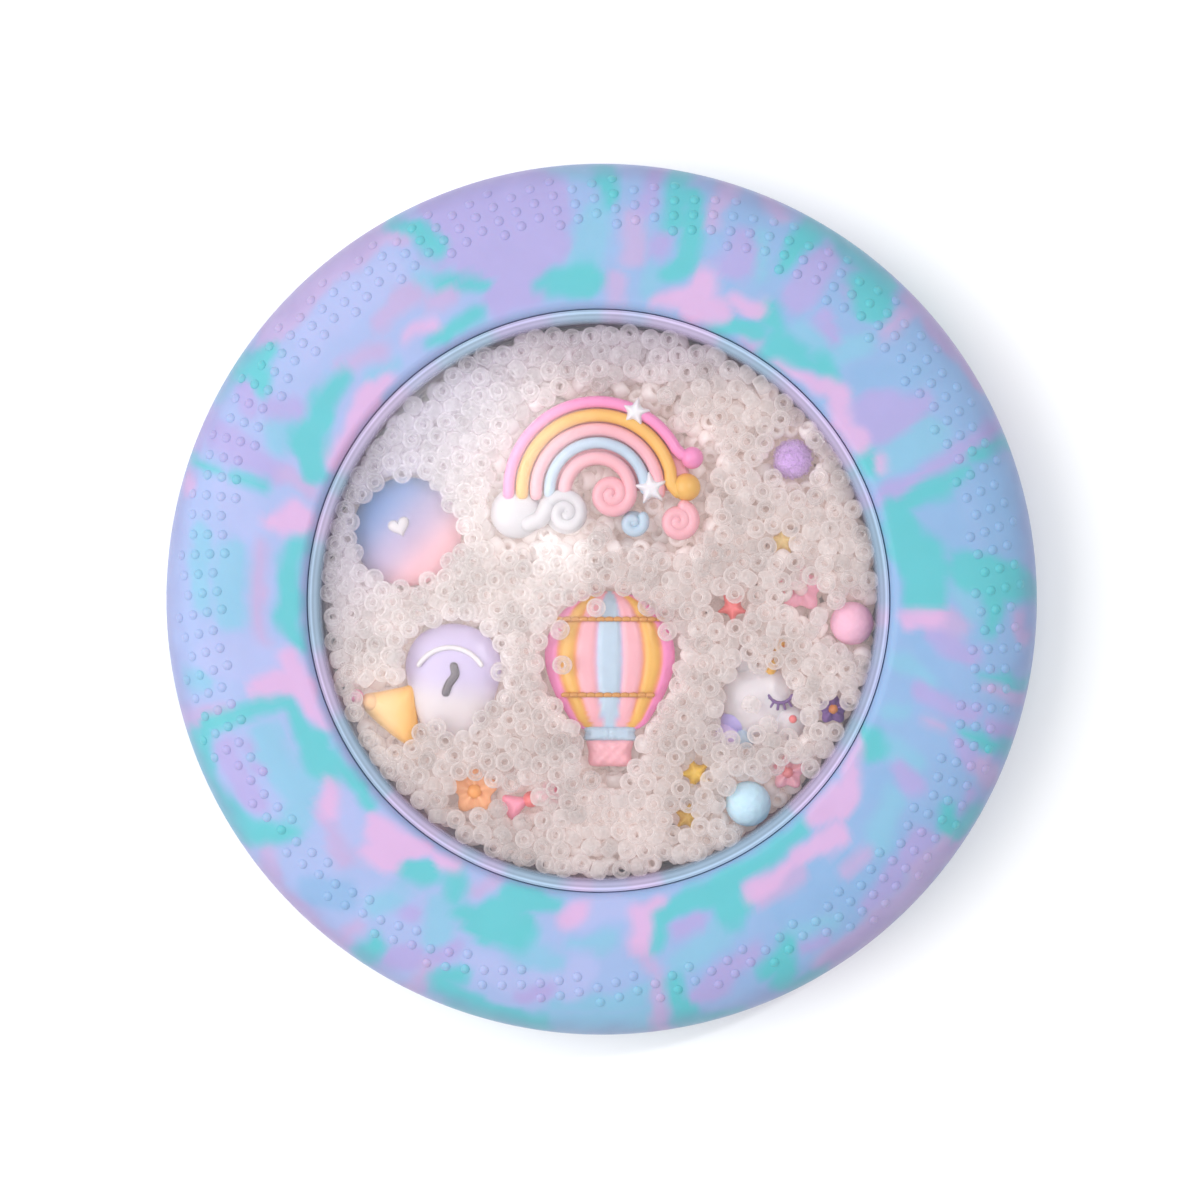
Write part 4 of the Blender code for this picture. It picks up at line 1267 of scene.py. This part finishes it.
def bead_tint(spot, rng):
    """Nearly white: warm in the middle and towards the right, and cooler and dimmer near the wall at the left
    and the top, which is painted shade. A few beads are darker at random.
    """
    # Painted shade: cooler and dimmer towards the wall at the left and the top
    left = smooth(0.45, 1.05, (spot[1] * 0.6 - spot[0] * 0.75) / CHAMBER_RADIUS)
    top = 0.45 * smooth(0.7, 0.95, spot[1] / CHAMBER_RADIUS)
    return mixed((255, 249, 247), (228, 224, 240), max(left, top)) - 20 * rng.random() ** 3


def add_beads():
    """All the beads, in eight wedges of the chamber. The first stands for the CAD beads and their bed."""
    rng = np.random.default_rng(7)
    spots = packed_spots(rng, swept_charms())
    turns = bead_turns(rng, spots)
    form, skin = bead_form()
    wedge = (np.degrees(np.arctan2(spots[:, 1], spots[:, 0])) // 45).astype(int) % 8
    finish = bead_finish()
    for number in range(8):
        shape = Shape()
        for spot, turn in zip(spots[wedge == number], turns[wedge == number]):
            solid = 0.0 if spot[2] > GLASSY_HEIGHT else 1.0
            shape.add(form @ turn.T + spot, skin, bead_tint(spot, rng), solid)
        name = f"beads_{number + 1}"
        nodes = ["bead_bed", *loose_beads()] if number == 0 else []
        add_piece(name, shape.mesh(name), finish, "fill", "clear_bead", *nodes)


# --- Stage, light and camera -------------------------------------------------------------------------

# In metres, but the camera's lean is in degrees and its sensor in millimetres
FLOOR_REACH = 3
FLOOR_HEIGHT = -0.0003
CAMERA_DISTANCE = 0.6
CAMERA_LEAN = (2.4, 1.2)  # to the right of the disc's axis and above it
VIEW_WIDTH = 0.20695  # what the picture spans at the target
SENSOR_WIDTH = 36


def add_floor():
    """A plain pale floor just under the ring."""
    reach, z = FLOOR_REACH, FLOOR_HEIGHT
    corners = [(-reach, -reach, z), (reach, -reach, z), (reach, reach, z), (-reach, reach, z)]
    mesh = bpy.data.meshes.new("floor")
    mesh.from_pydata(corners, [], [(0, 1, 2, 3)])
    finish = Finish("pale_floor", Base_Color=(0.93, 0.93, 0.93, 1), Roughness=0.9)
    mesh.materials.append(finish.material)
    floor = bpy.data.objects.new("floor", mesh)
    bpy.context.scene.collection.objects.link(floor)


def add_light(name, place, target, size, watts, shape="RECTANGLE"):
    """An area light that faces its target."""
    light = bpy.data.lights.new(name, "AREA")
    light.shape = shape
    light.size, light.size_y = size
    light.energy = watts
    lamp = bpy.data.objects.new(name, light)
    bpy.context.scene.collection.objects.link(lamp)
    lamp.location = place
    lamp.rotation_euler = (Vector(place) - Vector(target)).to_track_quat("Z", "Y").to_euler()


def add_surround(horizon, zenith):
    """A pale studio all round, brighter overhead than at the horizon."""
    world = bpy.data.worlds.new("studio")
    world.use_nodes = True
    nodes, links = world.node_tree.nodes, world.node_tree.links
    place = nodes.new("ShaderNodeTexCoord")
    parts = nodes.new("ShaderNodeSeparateXYZ")
    strength = nodes.new("ShaderNodeMapRange")
    strength.inputs["To Min"].default_value = horizon
    strength.inputs["To Max"].default_value = zenith
    links.new(place.outputs["Generated"], parts.inputs["Vector"])
    links.new(parts.outputs["Z"], strength.inputs["Value"])
    links.new(strength.outputs["Result"], nodes["Background"].inputs["Strength"])
    nodes["Background"].inputs["Color"].default_value = (0.97, 0.98, 1, 1)
    bpy.context.scene.world = world


def add_lights():
    """Soft studio light: a pale surround, a large key from the left, a small light for highlights, and two
    softboxes that the window mirrors, the stronger at its upper left.
    """
    add_surround(0.62, 0.87)
    add_light("key", (-0.66, 0.04, 0.75), (0, 0, 0), (0.9, 0.9), 8)
    add_light("glint", (0.42, 0.3, 0.9), (0, 0, 0), (0.07, 0.07), 2.0)
    add_light("window_softbox", (-0.092, 0.046, 1.0), (-0.092, 0.046, 0), (0.085, 0.078), 0.165, "ELLIPSE")
    add_light("window_fill", (-0.106, -0.022, 1.0), (-0.106, -0.022, 0), (0.069, 0.09), 0.075, "ELLIPSE")


def add_camera():
    """Looks almost straight down at the middle of the disc, from a little right of and above it."""
    scene = bpy.context.scene
    data = bpy.data.cameras.new("camera")
    data.sensor_width = SENSOR_WIDTH
    data.lens = SENSOR_WIDTH * CAMERA_DISTANCE / VIEW_WIDTH
    data.clip_start = 0.01
    camera = bpy.data.objects.new("camera", data)
    scene.collection.objects.link(camera)
    target = Vector((0, 0, MIDDLE * MM))
    aside, above = (math.sin(math.radians(lean)) for lean in CAMERA_LEAN)
    view = CAMERA_DISTANCE * Vector((aside, above, 1))
    camera.location = target + view
    right = Vector((0, 1, 0)).cross(view).normalized()
    up = view.cross(right).normalized()
    camera.rotation_euler = Matrix((right, up, view.normalized())).transposed().to_euler()
    scene.camera = camera
    scene.view_settings.view_transform = "Standard"


def main():
    add_camera()
    add_lights()
    add_floor()
    add_ring()
    add_capsule()
    satin = resin_finish("satin_resin", shade=0.92)
    add_rainbow(satin)
    add_balloon(satin)
    bright = resin_finish("bright_resin", shade=1.04)
    add_bird(bright)
    add_unicorn(bright)
    add_pastel_dome(resin_finish("matte_resin", 0.5, 0.65, 0.92))
    add_balls()
    add_pompom(felt_finish())
    add_flowers(bright)
    add_stars(bright)
    add_bow(bright)
    add_beads()


main()
